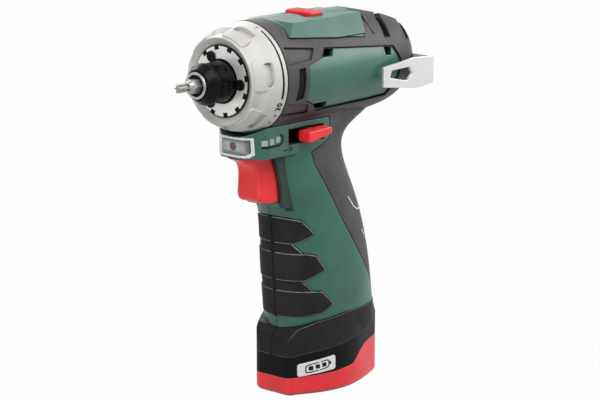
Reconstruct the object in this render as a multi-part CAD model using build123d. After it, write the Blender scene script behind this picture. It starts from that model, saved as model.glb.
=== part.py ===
from build123d import *
import os
from math import copysign, cos, pi, radians, sin

# Places are measured from the spindle axis at the collar's rear edge:
# x to the user's left, y to the rear, z up. Pieces are lifted onto the base when saved.
AXIS_HEIGHT = 160.0
BASE_SETBACK = 49.0

# Stock for cutters, and where the round pieces have their seam
FAR = 200.0
PAST = 1.0
SEAM_TURN = 37.0

# Walls and clearances
SKIN = 1.4
WALL = 3.0
SLIDE_GAP = 0.35
RUN_GAP = 0.05
LOOSE_GAP = 0.4
EDGE_GAP = 0.4
SEAT_GAP = 0.3

# Barrel: radius, and the drop of its outside towards the rounded rear
BARREL_R = 26.6
BARREL_FRONT = 0.6
BARREL_STRAIGHT_END = 58.0
BARREL_REAR = 110.5
BARREL_REAR_R = 5.0
BARREL_CURVE = [(82.0, 1.4), (97.0, 5.2), (106.0, 12.1)]
BARREL_SLOPE = [(64.0, 27.4), (84.0, 22.6), (97.0, 18.2), (106.0, 12.6), (114.0, 4.6)]

# Roof sections: half width of the top, height of its edge and crown, half width and height of the foot
ROOF_SECTION = (14.0, 25.0, 26.8, 22.0, 16.5)
CAP_FRONT_SECTION = (14.0, 23.8, 24.9, 22.0, 15.5)
CAP_REAR_SECTION = (9.0, 17.4, 18.2, 16.0, 10.0)
ROOF_UNDER = 6.0
ROOF_FRONT = 9.6
ROOF_REAR = 66.5
ROOF_GROOVE = 0.9
ROOF_EDGE = [(ROOF_FRONT, 19.4), (59.8, 14.8), (66.6, 25.4)]
ROOF_TOP_SLOPE = [(20.0, 26.9), (80.0, 24.6)]
CAP_END = 94.0

# Two front facets of the roof: height above the collar's rear edge, rise to the rear, fall to each side
FACET_HEIGHT = 21.3
FACET_RISE = 0.494
FACET_FALL = 0.348

# Chin under the collar
CHIN_HALF = 15.6
CHIN_FRONT = -10.8
CHIN_FLOOR = -37.6
CHIN_TOP = -13.6
CHIN_BACK = 38.0
CHIN_FACET_X = 9.0
CHIN_FACET_Y = 8.2
CHIN_CORNER_R = 6.0

# Grip sections: height, front, rear, half width
GRIP_POWER = 2.3
GRIP_POINTS = 20
GRIP_SECTIONS = [
    (-150.0, 23.4, 84.6, 20.2),
    (-134.0, 22.0, 84.0, 20.4),
    (-118.5, 20.6, 83.0, 20.7),
    (-106.0, 19.6, 81.0, 20.9),
    (-94.9, 18.9, 78.8, 21.0),
    (-84.0, 18.5, 76.0, 20.8),
    (-73.0, 17.5, 72.6, 20.2),
    (-62.0, 13.5, 68.6, 19.2),
    (-51.0, 9.4, 64.0, 18.0),
    (-41.0, 7.0, 61.0, 17.3),
    (-30.0, 5.5, 67.5, 17.0),
    (-18.0, 5.0, 82.0, 17.0),
]

# Soft covers, their sunk panels and the green spine between them, as side views
COVER_OUTLINE = [
    (-1.0, -22.8), (-1.0, 40.0), (10.8, 40.0), (10.8, 26.2), (12.2, 22.6), *ROOF_EDGE, (66.6, 40.0),
    (120.0, 40.0), (120.0, -119.0), (80.0, -119.0), (73.5, -111.0), (58.0, -91.3),
    (46.3, -74.4), (37.5, -58.3), (29.0, -44.3), (27.0, -38.0), (40.3, -33.0), (40.3, -22.8),
]
WINDOW_OUTLINE = [
    (16.2, 6.0), (25.5, 8.3), (29.3, 12.4), (72.8, 8.6), (79.6, 7.7), (84.9, 0.7), (84.0, -8.0),
    (79.5, -16.4), (26.7, -17.2), (22.5, -13.4), (16.0, -10.8),
]
PANEL_OUTLINES = [
    [(2.5, 15.7), (21.9, 13.4), (18.2, 8.6), (2.0, 7.7)],
    [(2.0, -10.6), (18.0, -13.0), (20.8, -17.7), (2.0, -17.2)],
    [(8.5, 5.2), (13.1, 5.4), (12.6, -9.2), (7.3, -9.9)],
]
WINDOW_DEEP = 0.8
PANEL_DEEP = 0.8
SPINE_HALF = 3.5
SPINE_FRONT = 50.0
SPINE_LOW = -58.0
SPINE_HIGH = -31.0

# Finger pads, as side views: the whole set, then the three raised pads
PAD_OUTLINE = [
    (0.0, -66.5), (19.6, -70.6), (23.6, -71.8), (29.6, -78.9), (21.5, -83.9), (24.8, -88.2),
    (29.9, -89.4), (35.4, -97.5), (25.2, -102.6), (29.8, -107.4), (33.7, -107.9), (40.8, -115.5),
    (34.1, -119.6), (25.4, -121.0), (0.0, -122.4),
]
RAISED_PADS = [
    [(0.0, -66.5), (19.6, -70.6), (23.6, -71.8), (29.6, -78.9), (21.5, -83.9), (0.0, -83.8)],
    [(0.0, -87.4), (26.0, -88.4), (29.9, -89.4), (35.4, -97.5), (25.2, -102.6), (0.0, -102.4)],
    [(0.0, -106.4), (31.0, -107.6), (33.7, -107.9), (40.8, -115.5), (34.1, -119.6), (25.4, -121.0),
     (0.0, -122.4)],
]
PAD_PROUD = 0.5

# Vents: side views in the window, then plans of the rear slots with the height of their floor
VENT_IN = 16.0
SIDE_VENTS = [
    [(25.6, 8.5), (29.4, 12.2), (36.0, 11.6), (34.2, 8.4)],
    [(22.8, -13.4), (26.8, -16.9), (33.5, -16.8), (32.6, -13.4)],
    [(72.4, 8.4), (78.6, 7.6), (77.6, 3.8), (73.2, 4.2)],
]
REAR_VENTS = [
    (12.4, [(30.0, 72.4), (30.0, 77.6), (14.5, 81.6), (3.0, 89.4), (3.0, 87.2), (14.5, 77.2)]),
    (9.2, [(30.0, 90.2), (30.0, 95.4), (13.0, 99.4), (3.0, 104.6), (3.0, 102.6), (13.0, 95.4)]),
]

# Rooms and ribs inside the housing; the barrel room narrows by a drop towards the rear
ROOM_END = 93.0
ROOM_CURVE = [(70.0, 1.2), (84.0, 4.0), (ROOM_END, 7.8)]
RIB = 2.4
CASE_RIBS = [18.0, 40.8]
MOTOR_RIBS = [56.0, 79.0]
SWITCH_RIBS = [29.0, 44.0]
RIB_TOP = 14.0
SWITCH_RIB_DROP = 4.0
NECK_HALF = 11.8
NECK_FRONT = 20.0
NECK_FLOOR = -66.0
NECK_TOP = -18.0
CHIN_ROOM_HALF = 11.5
CHIN_ROOM_FRONT = -3.4
CHIN_ROOM_REAR = 22.0
CHIN_ROOM_FLOOR = -35.4
CHIN_ROOM_TOP = -29.8
WIRE_HALF = 7.0
WIRE_TALL = 12.0

# Lamp and charge gauge
LAMP_FLOOR = -36.9
LAMP_TOP = -27.2
LAMP_CORNER_LOW = -35.4
LAMP_REAR_HIGH = -6.8
LAMP_REAR_LOW = -6.4
LAMP_REAR_CORNER = -8.2
LAMP_DEEP = 1.6
LAMP_FRAME = 1.1
LAMP_TUNNEL = 4.6
LAMP_TUNNEL_LOW = -34.6
LAMP_TUNNEL_HIGH = -30.6
LED_R = 1.8
BOARD_HALF = 6.0
BOARD_THICK = 1.0
GAUGE_PLACES = [(-3.0, -29.9), (1.0, -29.6), (5.2, -29.0)]
GAUGE_HALF = 1.35

# Belt hook: plan of the bent sheet, side view and window
HOOK_END = 15.0
HOOK_ROOT_FRONT = 98.8
HOOK_ROOT_REAR = 100.4
HOOK_ROOT_LOW = -11.9
HOOK_ROOT_HIGH = 1.7
HOOK_PLAN = [
    (29.4, 66.4), (32.6, 87.0), (32.9, HOOK_ROOT_REAR), (HOOK_END, HOOK_ROOT_REAR),
    (HOOK_END, HOOK_ROOT_FRONT), (31.3, HOOK_ROOT_FRONT), (31.0, 87.2), (27.8, 66.7),
]
HOOK_SIDE = [
    (66.0, -10.4), (66.0, -0.8), (87.0, 2.3), (100.5, 1.6), (100.5, -11.8), (87.0, -12.8),
]
HOOK_WINDOW = [(71.5, -2.6), (83.0, -1.8), (84.7, -5.3), (81.8, -8.7), (70.3, -6.2)]

# Seam between foot and battery, leaning with the handle
LEAN = 8.0
BATTERY_TALL = 25.0
BASE_Z = -AXIS_HEIGHT
SEAM_Y = 53.4
SEAM_Z = BASE_Z + BATTERY_TALL
SEAM_GAP = 0.3

# Foot
FOOT_STOCK = 40.0
FOOT_TOP = 20.0
FOOT_BEVEL = 1.3
FOOT_BEVEL_LOW = 1.5
FOOT_FLARE = 0.4
FOOT_WALL = 1.4
FOOT_PROUD = 0.3
FOOT_SLOPE = [
    (0.0, -134.6), (17.0, -134.6), (18.6, -129.8), (21.6, -126.4), (31.0, -123.4), (50.0, -121.0),
    (90.0, -121.0),
]

# Plan of the battery: front facet with rounded corners, sides through two points, rounded rear
PLAN_FRONT = 17.0
PLAN_FACET = 7.6
PLAN_HALF = 21.9
PLAN_REAR = 84.8
PLAN_CORNER = (5.2, 4.2)
PLAN_CORNER_MIDDLE = (3.3, 1.2)
PLAN_SHOULDER = (3.0, 16.3)
PLAN_WIDEST = 35.8
PLAN_TAIL = (6.6, 9.3)
BASE_ROUND = 3.0

# Battery stem, terminals and cells, in the leaning frame
STEM_HALF_X = 17.6
STEM_HALF_Y = 19.0
STEM_CORNER = 9.0
WELL_TOP = 59.0
STEM_TOP = WELL_TOP - 2.0
TERMINAL_HALF_X = 14.0
TERMINAL_HALF_Y = 9.8
TERMINAL_TALL = 5.0
TERMINAL_TOP = WELL_TOP + TERMINAL_TALL
CELL_R = 9.0
CELL_PLACES = [(-7.8, -9.03), (-7.8, 9.03), (7.8, 0.0)]
CELL_LOW = -20.5
CELL_LENGTH = 65.0
CELL_GAP = 0.05
CONTACT_PITCH = 8.0
CONTACT_THICK = 0.4
CONTACT_HALF = 3.0
CONTACT_DEEP = 8.0
CONTACT_SLOT = 1.2
CONTACT_SLOT_HALF = 4.0
BLADE_THICK = 0.8
BLADE_HALF = 3.0
BLADE_DEEP = 5.0

# Battery latch, with heights above the base and its tab above the seam
LATCH_HALF = 8.0
LATCH_LOW = BASE_Z + 13.4
LATCH_HIGH = BASE_Z + 20.4
LATCH_FRONT = 77.4
LATCH_PROUD = 0.8
LATCH_TRAVEL = 2.0
TAB_HALF = 4.0
TAB_FRONT = 77.6
TAB_REAR = 79.6
TAB_TOP = SEAM_Z + 6.4
TAB_ROOT = 1.5
TAB_SWING = 1.6
TAB_ROOM = 2.0

# Edge of the red lower case and the label, as side views with heights above the base
RED_LINE = [
    (-FAR, 8.6), (0.0, 8.6), (40.0, 10.4), (53.0, 11.6), (60.0, 16.8), (66.0, 19.4), (100.0, 21.4),
    (FAR, 21.4),
]
LABEL_OUTLINE = [(21.4, 9.8), (21.4, 16.2), (40.2, 19.2), (40.2, 11.9)]
LABEL_ROUND = 1.2
LABEL_IN = 5.0
LABEL_THICK = 0.35

# Gear teeth: heights in modules and widths as shares of the pitch
MODULE = 0.65
PINION_TEETH = 15
RING_TEETH = 45
TOOTH_OUT = 0.9
TOOTH_IN = 1.25
TIP_SHARE = 0.24
ROOT_SHARE = 0.60
RING_TIP_GAP = 0.74
RING_ROOT_GAP = 0.42

# Gear stages
PLANET_ANGLES = {"a": 90.0, "b": 210.0, "c": 330.0}
PIN_R = 2.0
PIN_PROUD = 0.2
CARRIER_R = 13.4
RING_OUT_R = 18.6
RING_LEAD = 0.2
FIRST_FRONT = 34.0
FIRST_REAR = 40.0
SECOND_FRONT = 22.0
SECOND_REAR = 29.0
SHIFT_LENGTH = 6.4
CARRIER_FRONT = 30.5
CARRIER_REAR = 33.5
FLANGE_FRONT = 17.5
FLANGE_REAR = 21.3
SUN_GAP = 0.4

# Gear case and spindle bush
CASE_R = 21.2
CASE_IN_R = 19.0
CASE_WEB_FRONT = 13.1
CASE_WEB_REAR = 16.4
CASE_REAR = 44.0
HUB_R = 15.0
HUB_FRONT = -14.4
BUSH_R = 11.0
BUSH_FRONT = -13.0
BUSH_REAR = 9.0
SHAFT_R = 8.0

# Clutch
BALL_R = 2.05
BALL_GAP = 0.15
BALL_PCD_R = 17.2
BALL_COUNT = 6
BALL_TURN = 30.0
BALL_Y = 14.7
RING_SEAT = 0.5
CLUTCH_PLATE = 1.45
CLUTCH_PLATE_R = 20.6
NUT_FRONT = -5.2
NUT_REAR = -0.8
NUT_R = 21.4
NUT_LUG_R = 23.0
NUT_LUG_HALF = 2.2
NUT_LUGS = 3
NUT_TURN = 41.0
SPRING_R = 18.2
SPRING_WIRE = 1.0
SPRING_TURNS = 4
SPRING_SEAT = 0.1

# Torque collar: outside and front lip as distance and drop below the radius
COLLAR_R = 26.5
COLLAR_IN_R = 21.9
COLLAR_CLEAR = 0.9
COLLAR_OUTSIDE = [(0.0, 0.0), (-6.4, 0.9), (-10.4, 1.8), (-13.8, 4.5), (-16.6, 5.2), (-18.4, 5.9)]
COLLAR_LIP = [(-16.2, 9.0), (-16.2, 10.6), (-14.6, 10.6)]
COLLAR_ROOM = -11.0
LUG_COUNT = 6
LUG_TURN = 11.0
LUG_HALF = 7.0
LUG_TOP = [(-9.4, 1.7), (-12.4, 2.4), (-17.2, 4.6)]
LUG_UNDER = [(-17.2, 6.2), (-13.6, 5.3), (-11.2, 4.1)]
LUG_ROUND = 1.8
POCKET_R = 23.4
POCKET_HALF = 5.6
POCKET_ROUND = 1.4
POCKET_FRONT = -12.2
POCKET_REAR = -7.2
GROOVE_FRONT = -10.7
GROOVE_DEEP_GAP = 0.6

# Front plate with its screws and the black ring behind it
PLATE_R = 16.7
PLATE_FRONT = -17.4
PLATE_REAR = -16.9
PLATE_BORE_R = 10.7
NOTCH_COUNT = 12
NOTCH_TURN = 10.0
NOTCH_HALF = 1.5
NOTCH_IN_R = 14.9
PLATE_SCREWS = 3
PLATE_SCREW_TURN = -2.0
PLATE_SCREW_PCD_R = 12.7
PLATE_SCREW_HEAD_R = 2.6
PLATE_SCREW_HEAD = 0.7
PLATE_SCREW_END = -10.0
LOCK_RING_R = 17.3
LOCK_RING_REAR = -16.5
LOCK_RING_SEAT_R = 15.4
LOCK_RING_GAP = 0.2

# Star sockets and the star tip of the bit: radii, and shares of the pitch
STAR_POINTS = 6
STAR_IN_R = 0.8
STAR_OUT_R = 1.3
STAR_ROOT_SHARE = 0.5
STAR_TIP_SHARE = 0.4

# Spindle and bit
NOSE_R = 10.0
NOSE_END = -33.2
NOSE_CONE = -29.5
NOSE_BACK = -14.2
NOSE_END_R = 7.4
NOSE_POCKET_R = 9.2
NOSE_POCKETS = 6
NOSE_POCKET_TURN = 45.0
NOSE_POCKET_FRONT = -28.5
NOSE_POCKET_REAR = -20.5
NOSE_POCKET_HALF = 3.25
TIP_RING_R = 6.4
TIP_RING_IN_R = 5.2
TIP_END = -34.6
HEX_FLATS = 6.3
HEX_GAP = 0.2
SOCKET_END = -20.0
BIT_SEAT_GAP = 0.5
BIT_TIP = -46.0
BIT_NECK = -40.0
BIT_SHOULDER = -38.0
BIT_TIP_R = 2.2
BIT_ROOT_R = 1.36
BIT_TIP_SHARE = 0.3

# Motor
MOTOR_R = 17.0
MOTOR_FRONT = CASE_REAR
MOTOR_REAR = 84.0
MOTOR_CAP_END = 88.0
MOTOR_BOSS_END = 91.0
MOTOR_BOSS_R = 6.5
MOTOR_WALL = 1.4
MOTOR_PLATE = 2.0
MOTOR_PLATE_BORE_R = 5.7
MOTOR_SHAFT_R = 1.6
MOTOR_SHAFT_FRONT = 34.4
MOTOR_SHAFT_REAR = 90.5
MOTOR_BUSH_R = 4.2
MOTOR_BUSH_FRONT_LONG = 2.5
MOTOR_BUSH_REAR_LONG = 3.0
ARMATURE_R = 12.3
ARMATURE_FRONT = 55.0
ARMATURE_REAR = 73.0
ARMATURE_SLOTS = 5
SLOT_IN_R = 6.5
SLOT_OUT_R = 11.0
SLOT_HALF = 2.0
SLOT_MOUTH_HALF = 0.8
WINDING_R = 10.5
WINDING_LENGTH = 3.5
MAGNET_IN_R = 12.9
MAGNET_FRONT = 52.0
MAGNET_REAR = 77.0
MAGNET_HALF = 9.0
FAN_R = 14.5
FAN_FRONT = 47.0
FAN_REAR = 50.5
FAN_BLADES = 9
FAN_DISC = 0.8
FAN_HUB_R = 4.0
FAN_BLADE_HALF = 0.4
FAN_BLADE_IN = 0.3
COMMUTATOR_R = 5.5
COMMUTATOR_FRONT = 77.5
COMMUTATOR_REAR = 83.4
BRUSH_IN = 5.85
BRUSH_OUT = 11.5
BRUSH_FRONT = 78.5
BRUSH_REAR = 82.5
BRUSH_HALF = 2.2
BRUSH_WALL = 1.0

# Switch
SWITCH_FRONT = 24.0
SWITCH_REAR = 49.0
SWITCH_HALF = 11.0
SWITCH_TOP = -38.2
SWITCH_FLOOR = -62.0

# Trigger sections: height, front, half width at the front
TRIGGER_SECTIONS = [
    (-38.3, -9.4, 5.0),
    (-39.8, -6.0, 5.6),
    (-41.6, -2.6, 6.2),
    (-44.4, -0.2, 7.0),
    (-48.4, 0.8, 7.6),
    (-53.0, 0.8, 7.9),
    (-57.2, 0.6, 8.0),
    (-61.0, 3.2, 8.2),
]
TRIGGER_TOP = TRIGGER_SECTIONS[0][0]
TRIGGER_FLOOR = TRIGGER_SECTIONS[-1][0]
TRIGGER_HALF = 9.6
TRIGGER_FLARE = 11.0
TRIGGER_BACK = 16.0
TRIGGER_ROUND = 3.2
TRIGGER_TRAVEL = 6.0
TRIGGER_GAP = 0.5
RIM_HALF = 12.2
RIM_OUTLINE = [(6.4, -36.0), (9.7, -46.3), (11.7, -54.6), (12.4, -61.8), (13.6, -64.5), (24.0, -64.5),
               (24.0, -36.0)]
PLUNGER_R = 2.2
PLUNGER_GAP = 0.3
PLUNGER_Z = -50.0
PLUNGER_REAR = 27.0
TRIGGER_SPRING_R = 3.5
TRIGGER_WIRE = 0.5
TRIGGER_TURNS = 3

# Direction button
BUTTON_FRONT = 19.2
BUTTON_REAR = 35.7
BUTTON_FLOOR_FRONT = -32.2
BUTTON_FLOOR_REAR = -29.4
BUTTON_TOP_FRONT = -26.6
BUTTON_TOP_REAR = -26.0
BUTTON_OUT = 23.2
BUTTON_LONG = 39.2
BUTTON_ROUND = 1.2
BUTTON_EDGE = 0.7
BUTTON_GAP = 0.8
BUTTON_RECESS = 6.7
BUTTON_WAIST = 6.0
BUTTON_WAIST_IN = -9.0
BUTTON_WAIST_OUT = 16.2
PEG_HALF = 3.0
PEG_FRONT = 26.0
PEG_REAR = 31.0
PEG_GAP = 0.5
PEG_TOP = -28.0

# Gear selector, its leg and the lug of the shift ring that the leg holds
SELECTOR_HALF = 8.5
SELECTOR_FRONT = 37.0
SELECTOR_REAR = 45.0
SELECTOR_TRAVEL = 4.0
SELECTOR_FLOOR = 24.5
SELECTOR_TOP = 27.8
SELECTOR_BEVEL = 0.9
SELECTOR_GROOVES = 4
SELECTOR_GROOVE_HALF = 0.35
SELECTOR_GROOVE_DEEP = 0.6
SELECTOR_GROOVE_END = 2.0
LEG_HALF = 2.8
LEG_FLOOR = 19.6
LEG_WALL = 1.2
LEG_ROOM = 0.5
SHIFT_LUG_HALF = 2.4
SHIFT_LUG_FRONT = 38.2
SHIFT_LUG_REAR = 40.0

# Housing screws: y, z
SCREW_PLACES = [(46.0, -31.0), (54.0, -57.0), (103.0, 7.0), (26.0, -70.0), (72.5, -100.0)]
BOSS_R = 4.3
SCREW_R = 1.4
SCREW_HEAD_TALL = 2.0
SCREW_HEAD_R = 2.8
SCREW_HEAD_GAP = 0.2
SCREW_HEAD_X = -11.0
SCREW_END_X = 7.0


def block(x0, x1, y0, y1, z0, z1):
    """Box between six planes."""
    return Pos((x0 + x1) / 2, (y0 + y1) / 2, (z0 + z1) / 2) * Box(x1 - x0, y1 - y0, z1 - z0)


def bar(radius, start, end):
    """Round bar on the spindle axis."""
    return Pos(0, (start + end) / 2, 0) * Rot(90, 0, 0) * Cylinder(radius, end - start)


def tube(outer, inner, start, end):
    """Round tube on the spindle axis."""
    return bar(outer, start, end) - bar(inner, start - PAST, end + PAST)


def cross_bar(radius, x0, x1, y, z):
    """Round bar across the tool."""
    return Pos((x0 + x1) / 2, y, z) * Rot(0, 90, 0) * Cylinder(radius, x1 - x0)


def polar(radius, angle):
    """Move from the spindle axis to a radius at an angle from +X towards +Z."""
    return Pos(radius * cos(radians(angle)), 0, radius * sin(radians(angle)))


def turn(angle):
    """Turn about the spindle axis from +X towards +Z."""
    return Rot(0, -angle, 0)


def side_prism(points, x0, x1, inset=0.0):
    """Side-view outline, drawn in by an inset, carried across the tool."""
    face = make_face(Polyline(*points, close=True))
    if inset:
        face = offset(face, -inset)
    return Pos(x0, 0, 0) * extrude(Plane.YZ * face, x1 - x0)


def plan_prism(points, low, high):
    """Plan outline carried upwards."""
    return extrude(Plane(origin=(0, 0, low)) * make_face(Polyline(*points, close=True)), high - low)


def over(line):
    """Side view of everything above a line that runs to the rear."""
    return [(line[0][0], FAR)] + line + [(line[-1][0], FAR)]


def above_base(points):
    """Side-view points given by their height above the base."""
    return [(y, BASE_Z + height) for y, height in points]


def turned(points):
    """Outline of distance and radius turned about the spindle axis."""
    face = make_face(Polyline(*points, close=True))
    return Rot(0, SEAM_TURN, 0) * revolve(Plane.YZ * face, Axis.Y, 360)


def facing(y):
    """Plane across the spindle with x to the left and z up, facing forwards."""
    return Plane(origin=(0, y, 0), x_dir=(1, 0, 0), z_dir=(0, -1, 0))


def left_half(shape):
    """The half on the +X side."""
    return shape - block(-FAR, 0, -FAR, FAR, -FAR, FAR)


def right_of(shape):
    """The mirrored piece for the other side."""
    return mirror(shape, about=Plane.YZ)


def soft_ring(half_x, half_y, power):
    """Rounded closed outline: a superellipse through evenly turned points."""
    points = []
    for k in range(GRIP_POINTS):
        angle = 2 * pi * (k + 0.5) / GRIP_POINTS
        across = copysign(abs(cos(angle)) ** (2 / power), cos(angle))
        along = copysign(abs(sin(angle)) ** (2 / power), sin(angle))
        points.append((across * half_x, along * half_y))
    return make_face(Spline(*points, periodic=True))


# Outer body

def grip(inset):
    """Handle drawn through its sections."""
    faces = []
    for height, front, rear, half in GRIP_SECTIONS:
        ring = soft_ring(half - inset, (rear - front) / 2 - inset, GRIP_POWER)
        faces.append(Plane(origin=(0, (front + rear) / 2, height)) * ring)
    return loft(faces)


def barrel(inset):
    """Motor and gear barrel with its rounded rear, sloped off on top."""
    radius = BARREL_R - inset
    end = BARREL_REAR - inset
    corner = (BARREL_FRONT, radius)
    straight = (BARREL_STRAIGHT_END, radius)
    middle = [(y, radius - drop) for y, drop in BARREL_CURVE]
    curve = Spline(straight, *middle, (end, BARREL_REAR_R), tangents=[(1, 0), (0, -1)])
    lines = [Line((BARREL_FRONT, 0), corner), Line(corner, straight), curve,
             Line((end, BARREL_REAR_R), (end, 0)), Line((end, 0), (BARREL_FRONT, 0))]
    body = Rot(0, SEAM_TURN, 0) * revolve(Plane.YZ * make_face(Curve() + lines), Axis.Y, 360)
    slope = [(y, z - inset) for y, z in BARREL_SLOPE]
    return body - side_prism(over(slope), -FAR, FAR)


def roof_face(y, section, inset):
    """Cross-section of the roof, drawn in by an inset."""
    half_top, edge, crown, half_low, low = section
    top = half_top - inset
    side = half_low - inset
    points = [(-side, low), (-top, edge - inset), (0, crown - inset), (top, edge - inset), (side, low),
              (side - ROOF_UNDER, low - ROOF_UNDER), (-side + ROOF_UNDER, low - ROOF_UNDER)]
    return facing(y) * make_face(Polyline(*points, close=True))


def roof():
    """Green roof with slanted sides and two sloped facets at the front."""
    body = extrude(roof_face(ROOF_REAR, ROOF_SECTION, 0), ROOF_REAR - ROOF_FRONT)
    body -= side_prism(over(ROOF_TOP_SLOPE), -FAR, FAR)
    body &= side_prism(over(ROOF_EDGE), -FAR, FAR)
    facet = Plane(origin=(0, 0, FACET_HEIGHT), z_dir=(FACET_FALL, -FACET_RISE, 1))
    wedge = facet * block(-FAR, FAR, -FAR, FAR, 0, FAR)
    return body - [wedge, right_of(wedge)]


def cap_roof(inset):
    """Rear roof that runs out into the rounded rear."""
    front = roof_face(ROOF_REAR + ROOF_GROOVE, CAP_FRONT_SECTION, inset)
    rear = roof_face(CAP_END, CAP_REAR_SECTION, inset)
    return loft([front, rear], ruled=True)


def chin(inset):
    """Nose under the collar that holds the lamp."""
    half = CHIN_HALF - inset
    front = CHIN_FRONT + inset
    corners = [(-half, CHIN_BACK), (-half, front + CHIN_FACET_Y), (-half + CHIN_FACET_X, front),
               (half - CHIN_FACET_X, front), (half, front + CHIN_FACET_Y), (half, CHIN_BACK)]
    plan = make_face(Polyline(*corners, close=True))
    plan = fillet(plan.vertices().filter_by(lambda v: v.Y < CHIN_BACK - PAST), CHIN_CORNER_R)
    body = extrude(Plane(origin=(0, 0, CHIN_FLOOR + inset)) * plan, CHIN_TOP - CHIN_FLOOR - inset)
    return body - bar(COLLAR_R + COLLAR_CLEAR, -FAR, BARREL_FRONT)


def outer(inset, with_roof):
    """Whole outside of the left half of the housing, drawn in by an inset."""
    body = barrel(inset) + chin(inset)
    body += cap_roof(inset)
    if with_roof:
        body += roof()
    body += grip(inset)
    return left_half(body)


# Battery frame: leaning with the handle, its plane is the seam under the foot

LEAN_PLANE = Plane(origin=(0, SEAM_Y, SEAM_Z), x_dir=(1, 0, 0),
                   z_dir=(0, -sin(radians(LEAN)), cos(radians(LEAN))))


def leaning(x0, x1, y0, y1, z0, z1):
    """Box in the battery frame."""
    return LEAN_PLANE.location * block(x0, x1, y0, y1, z0, z1)


def stem_shape(gap, low, high):
    """Battery stem, or the room for it."""
    face = RectangleRounded(2 * (STEM_HALF_X + gap), 2 * (STEM_HALF_Y + gap), STEM_CORNER + gap)
    return LEAN_PLANE.location * extrude(Plane(origin=(0, 0, low)) * face, high - low)


def above_seam(shape):
    """What lies above the seam."""
    return shape - leaning(-FAR, FAR, -FAR, FAR, -FAR, SEAM_GAP / 2)


def below_seam(shape):
    """What lies below the seam."""
    return shape - leaning(-FAR, FAR, -FAR, FAR, -SEAM_GAP / 2, FAR)


def base_plan(inset):
    """Plan of the battery: narrow front facet, sides flaring to a rounded rear."""
    front = PLAN_FRONT + inset
    facet = PLAN_FACET - inset / 2
    half = PLAN_HALF - inset
    rear = PLAN_REAR - inset
    start = (facet + PLAN_CORNER[0], front + PLAN_CORNER[1])
    bend = (facet + PLAN_CORNER_MIDDLE[0], front + PLAN_CORNER_MIDDLE[1])
    shoulder = (half - PLAN_SHOULDER[0], front + PLAN_SHOULDER[1])
    tail = (half - PLAN_TAIL[0], rear - PLAN_TAIL[1])
    flare = Spline(start, shoulder, (half, front + PLAN_WIDEST), tail, (0, rear),
                   tangents=[(0.5, 1), (-1, 0)])
    corner = ThreePointArc((facet, front), bend, start)
    right = Curve() + [Line((0, front), (facet, front)), corner, flare]
    return make_face(right + mirror(right, about=Plane.YZ))


def base_prism(inset, low, high):
    """Upright prism on the battery's plan."""
    return extrude(Plane(origin=(0, 0, low)) * base_plan(inset), high - low)


# Housing

def barrel_room():
    """Room for the gear case and the motor."""
    radius = BARREL_R - WALL
    front = BARREL_FRONT - PAST
    rear = [(y, radius - drop) for y, drop in ROOM_CURVE]
    return turned([(front, 0), (front, radius), (BARREL_STRAIGHT_END, radius)] + rear + [(ROOM_END, 0)])


def stem_well():
    """Room for the battery stem, with the step that holds the terminal block above it."""
    well = stem_shape(SLIDE_GAP, -FOOT_TOP, WELL_TOP)
    well += leaning(-TERMINAL_HALF_X, TERMINAL_HALF_X, -TERMINAL_HALF_Y, TERMINAL_HALF_Y,
                    WELL_TOP - PAST, TERMINAL_TOP)
    well += leaning(-WIRE_HALF, WIRE_HALF, -WIRE_HALF, WIRE_HALF, WELL_TOP, TERMINAL_TOP + WIRE_TALL)
    return well


def housing_ribs():
    """Ribs and bosses that stand in the hollow."""
    ribs = Part()
    for y in CASE_RIBS:
        ribs += tube(BARREL_R, CASE_R, y, y + RIB)
    for y in MOTOR_RIBS:
        ribs += tube(BARREL_R, MOTOR_R, y, y + RIB)
    ribs -= block(-FAR, FAR, -FAR, FAR, RIB_TOP, FAR)
    for y in SWITCH_RIBS:
        ribs += block(-NECK_HALF, NECK_HALF, y, y + RIB, NECK_FLOOR, SWITCH_TOP - SWITCH_RIB_DROP)
    ribs -= block(-SWITCH_HALF, SWITCH_HALF, SWITCH_FRONT, SWITCH_REAR, SWITCH_FLOOR, 0)
    for y, z in SCREW_PLACES:
        ribs += cross_bar(BOSS_R, -FAR, FAR, y, z)
    return ribs


def hollow():
    """Everything inside the housing that is empty or taken up by other pieces."""
    room = barrel_room()
    room += block(-NECK_HALF, NECK_HALF, NECK_FRONT, SWITCH_REAR, NECK_FLOOR, NECK_TOP)
    room += block(-CHIN_ROOM_HALF, CHIN_ROOM_HALF, CHIN_ROOM_FRONT, CHIN_ROOM_REAR, CHIN_ROOM_FLOOR,
                  CHIN_ROOM_TOP)
    room -= housing_ribs()
    room += stem_well()
    room += bar(CASE_R, BARREL_FRONT - PAST, CASE_REAR)
    room += bar(MOTOR_R, CASE_REAR - PAST, MOTOR_CAP_END)
    return room


def openings():
    """Holes for the trigger, direction button, selector and lamp."""
    trigger_half = TRIGGER_HALF + SLIDE_GAP
    holes = block(-trigger_half, trigger_half, -FAR, SWITCH_FRONT, TRIGGER_FLOOR - TRIGGER_GAP,
                  TRIGGER_TOP + TRIGGER_GAP)
    holes += block(-FAR, FAR, BUTTON_FRONT - BUTTON_RECESS, BUTTON_REAR + BUTTON_GAP,
                   BUTTON_FLOOR_FRONT - BUTTON_GAP, BUTTON_TOP_REAR + BUTTON_GAP)
    selector_half = SELECTOR_HALF + SLIDE_GAP
    holes += block(-selector_half, selector_half, SELECTOR_FRONT - SELECTOR_TRAVEL - SLIDE_GAP,
                   SELECTOR_REAR + SLIDE_GAP, CASE_R, FAR)
    holes += block(-LAMP_TUNNEL, LAMP_TUNNEL, CHIN_FRONT, CHIN_ROOM_FRONT + PAST, LAMP_TUNNEL_LOW,
                   LAMP_TUNNEL_HIGH)
    return holes


def vents():
    """Corner vents of the side window and two slanted slots over the rear cap."""
    slots = Part()
    for outline in SIDE_VENTS:
        slots += side_prism(outline, VENT_IN, FAR)
    return slots + rear_vents()


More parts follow.
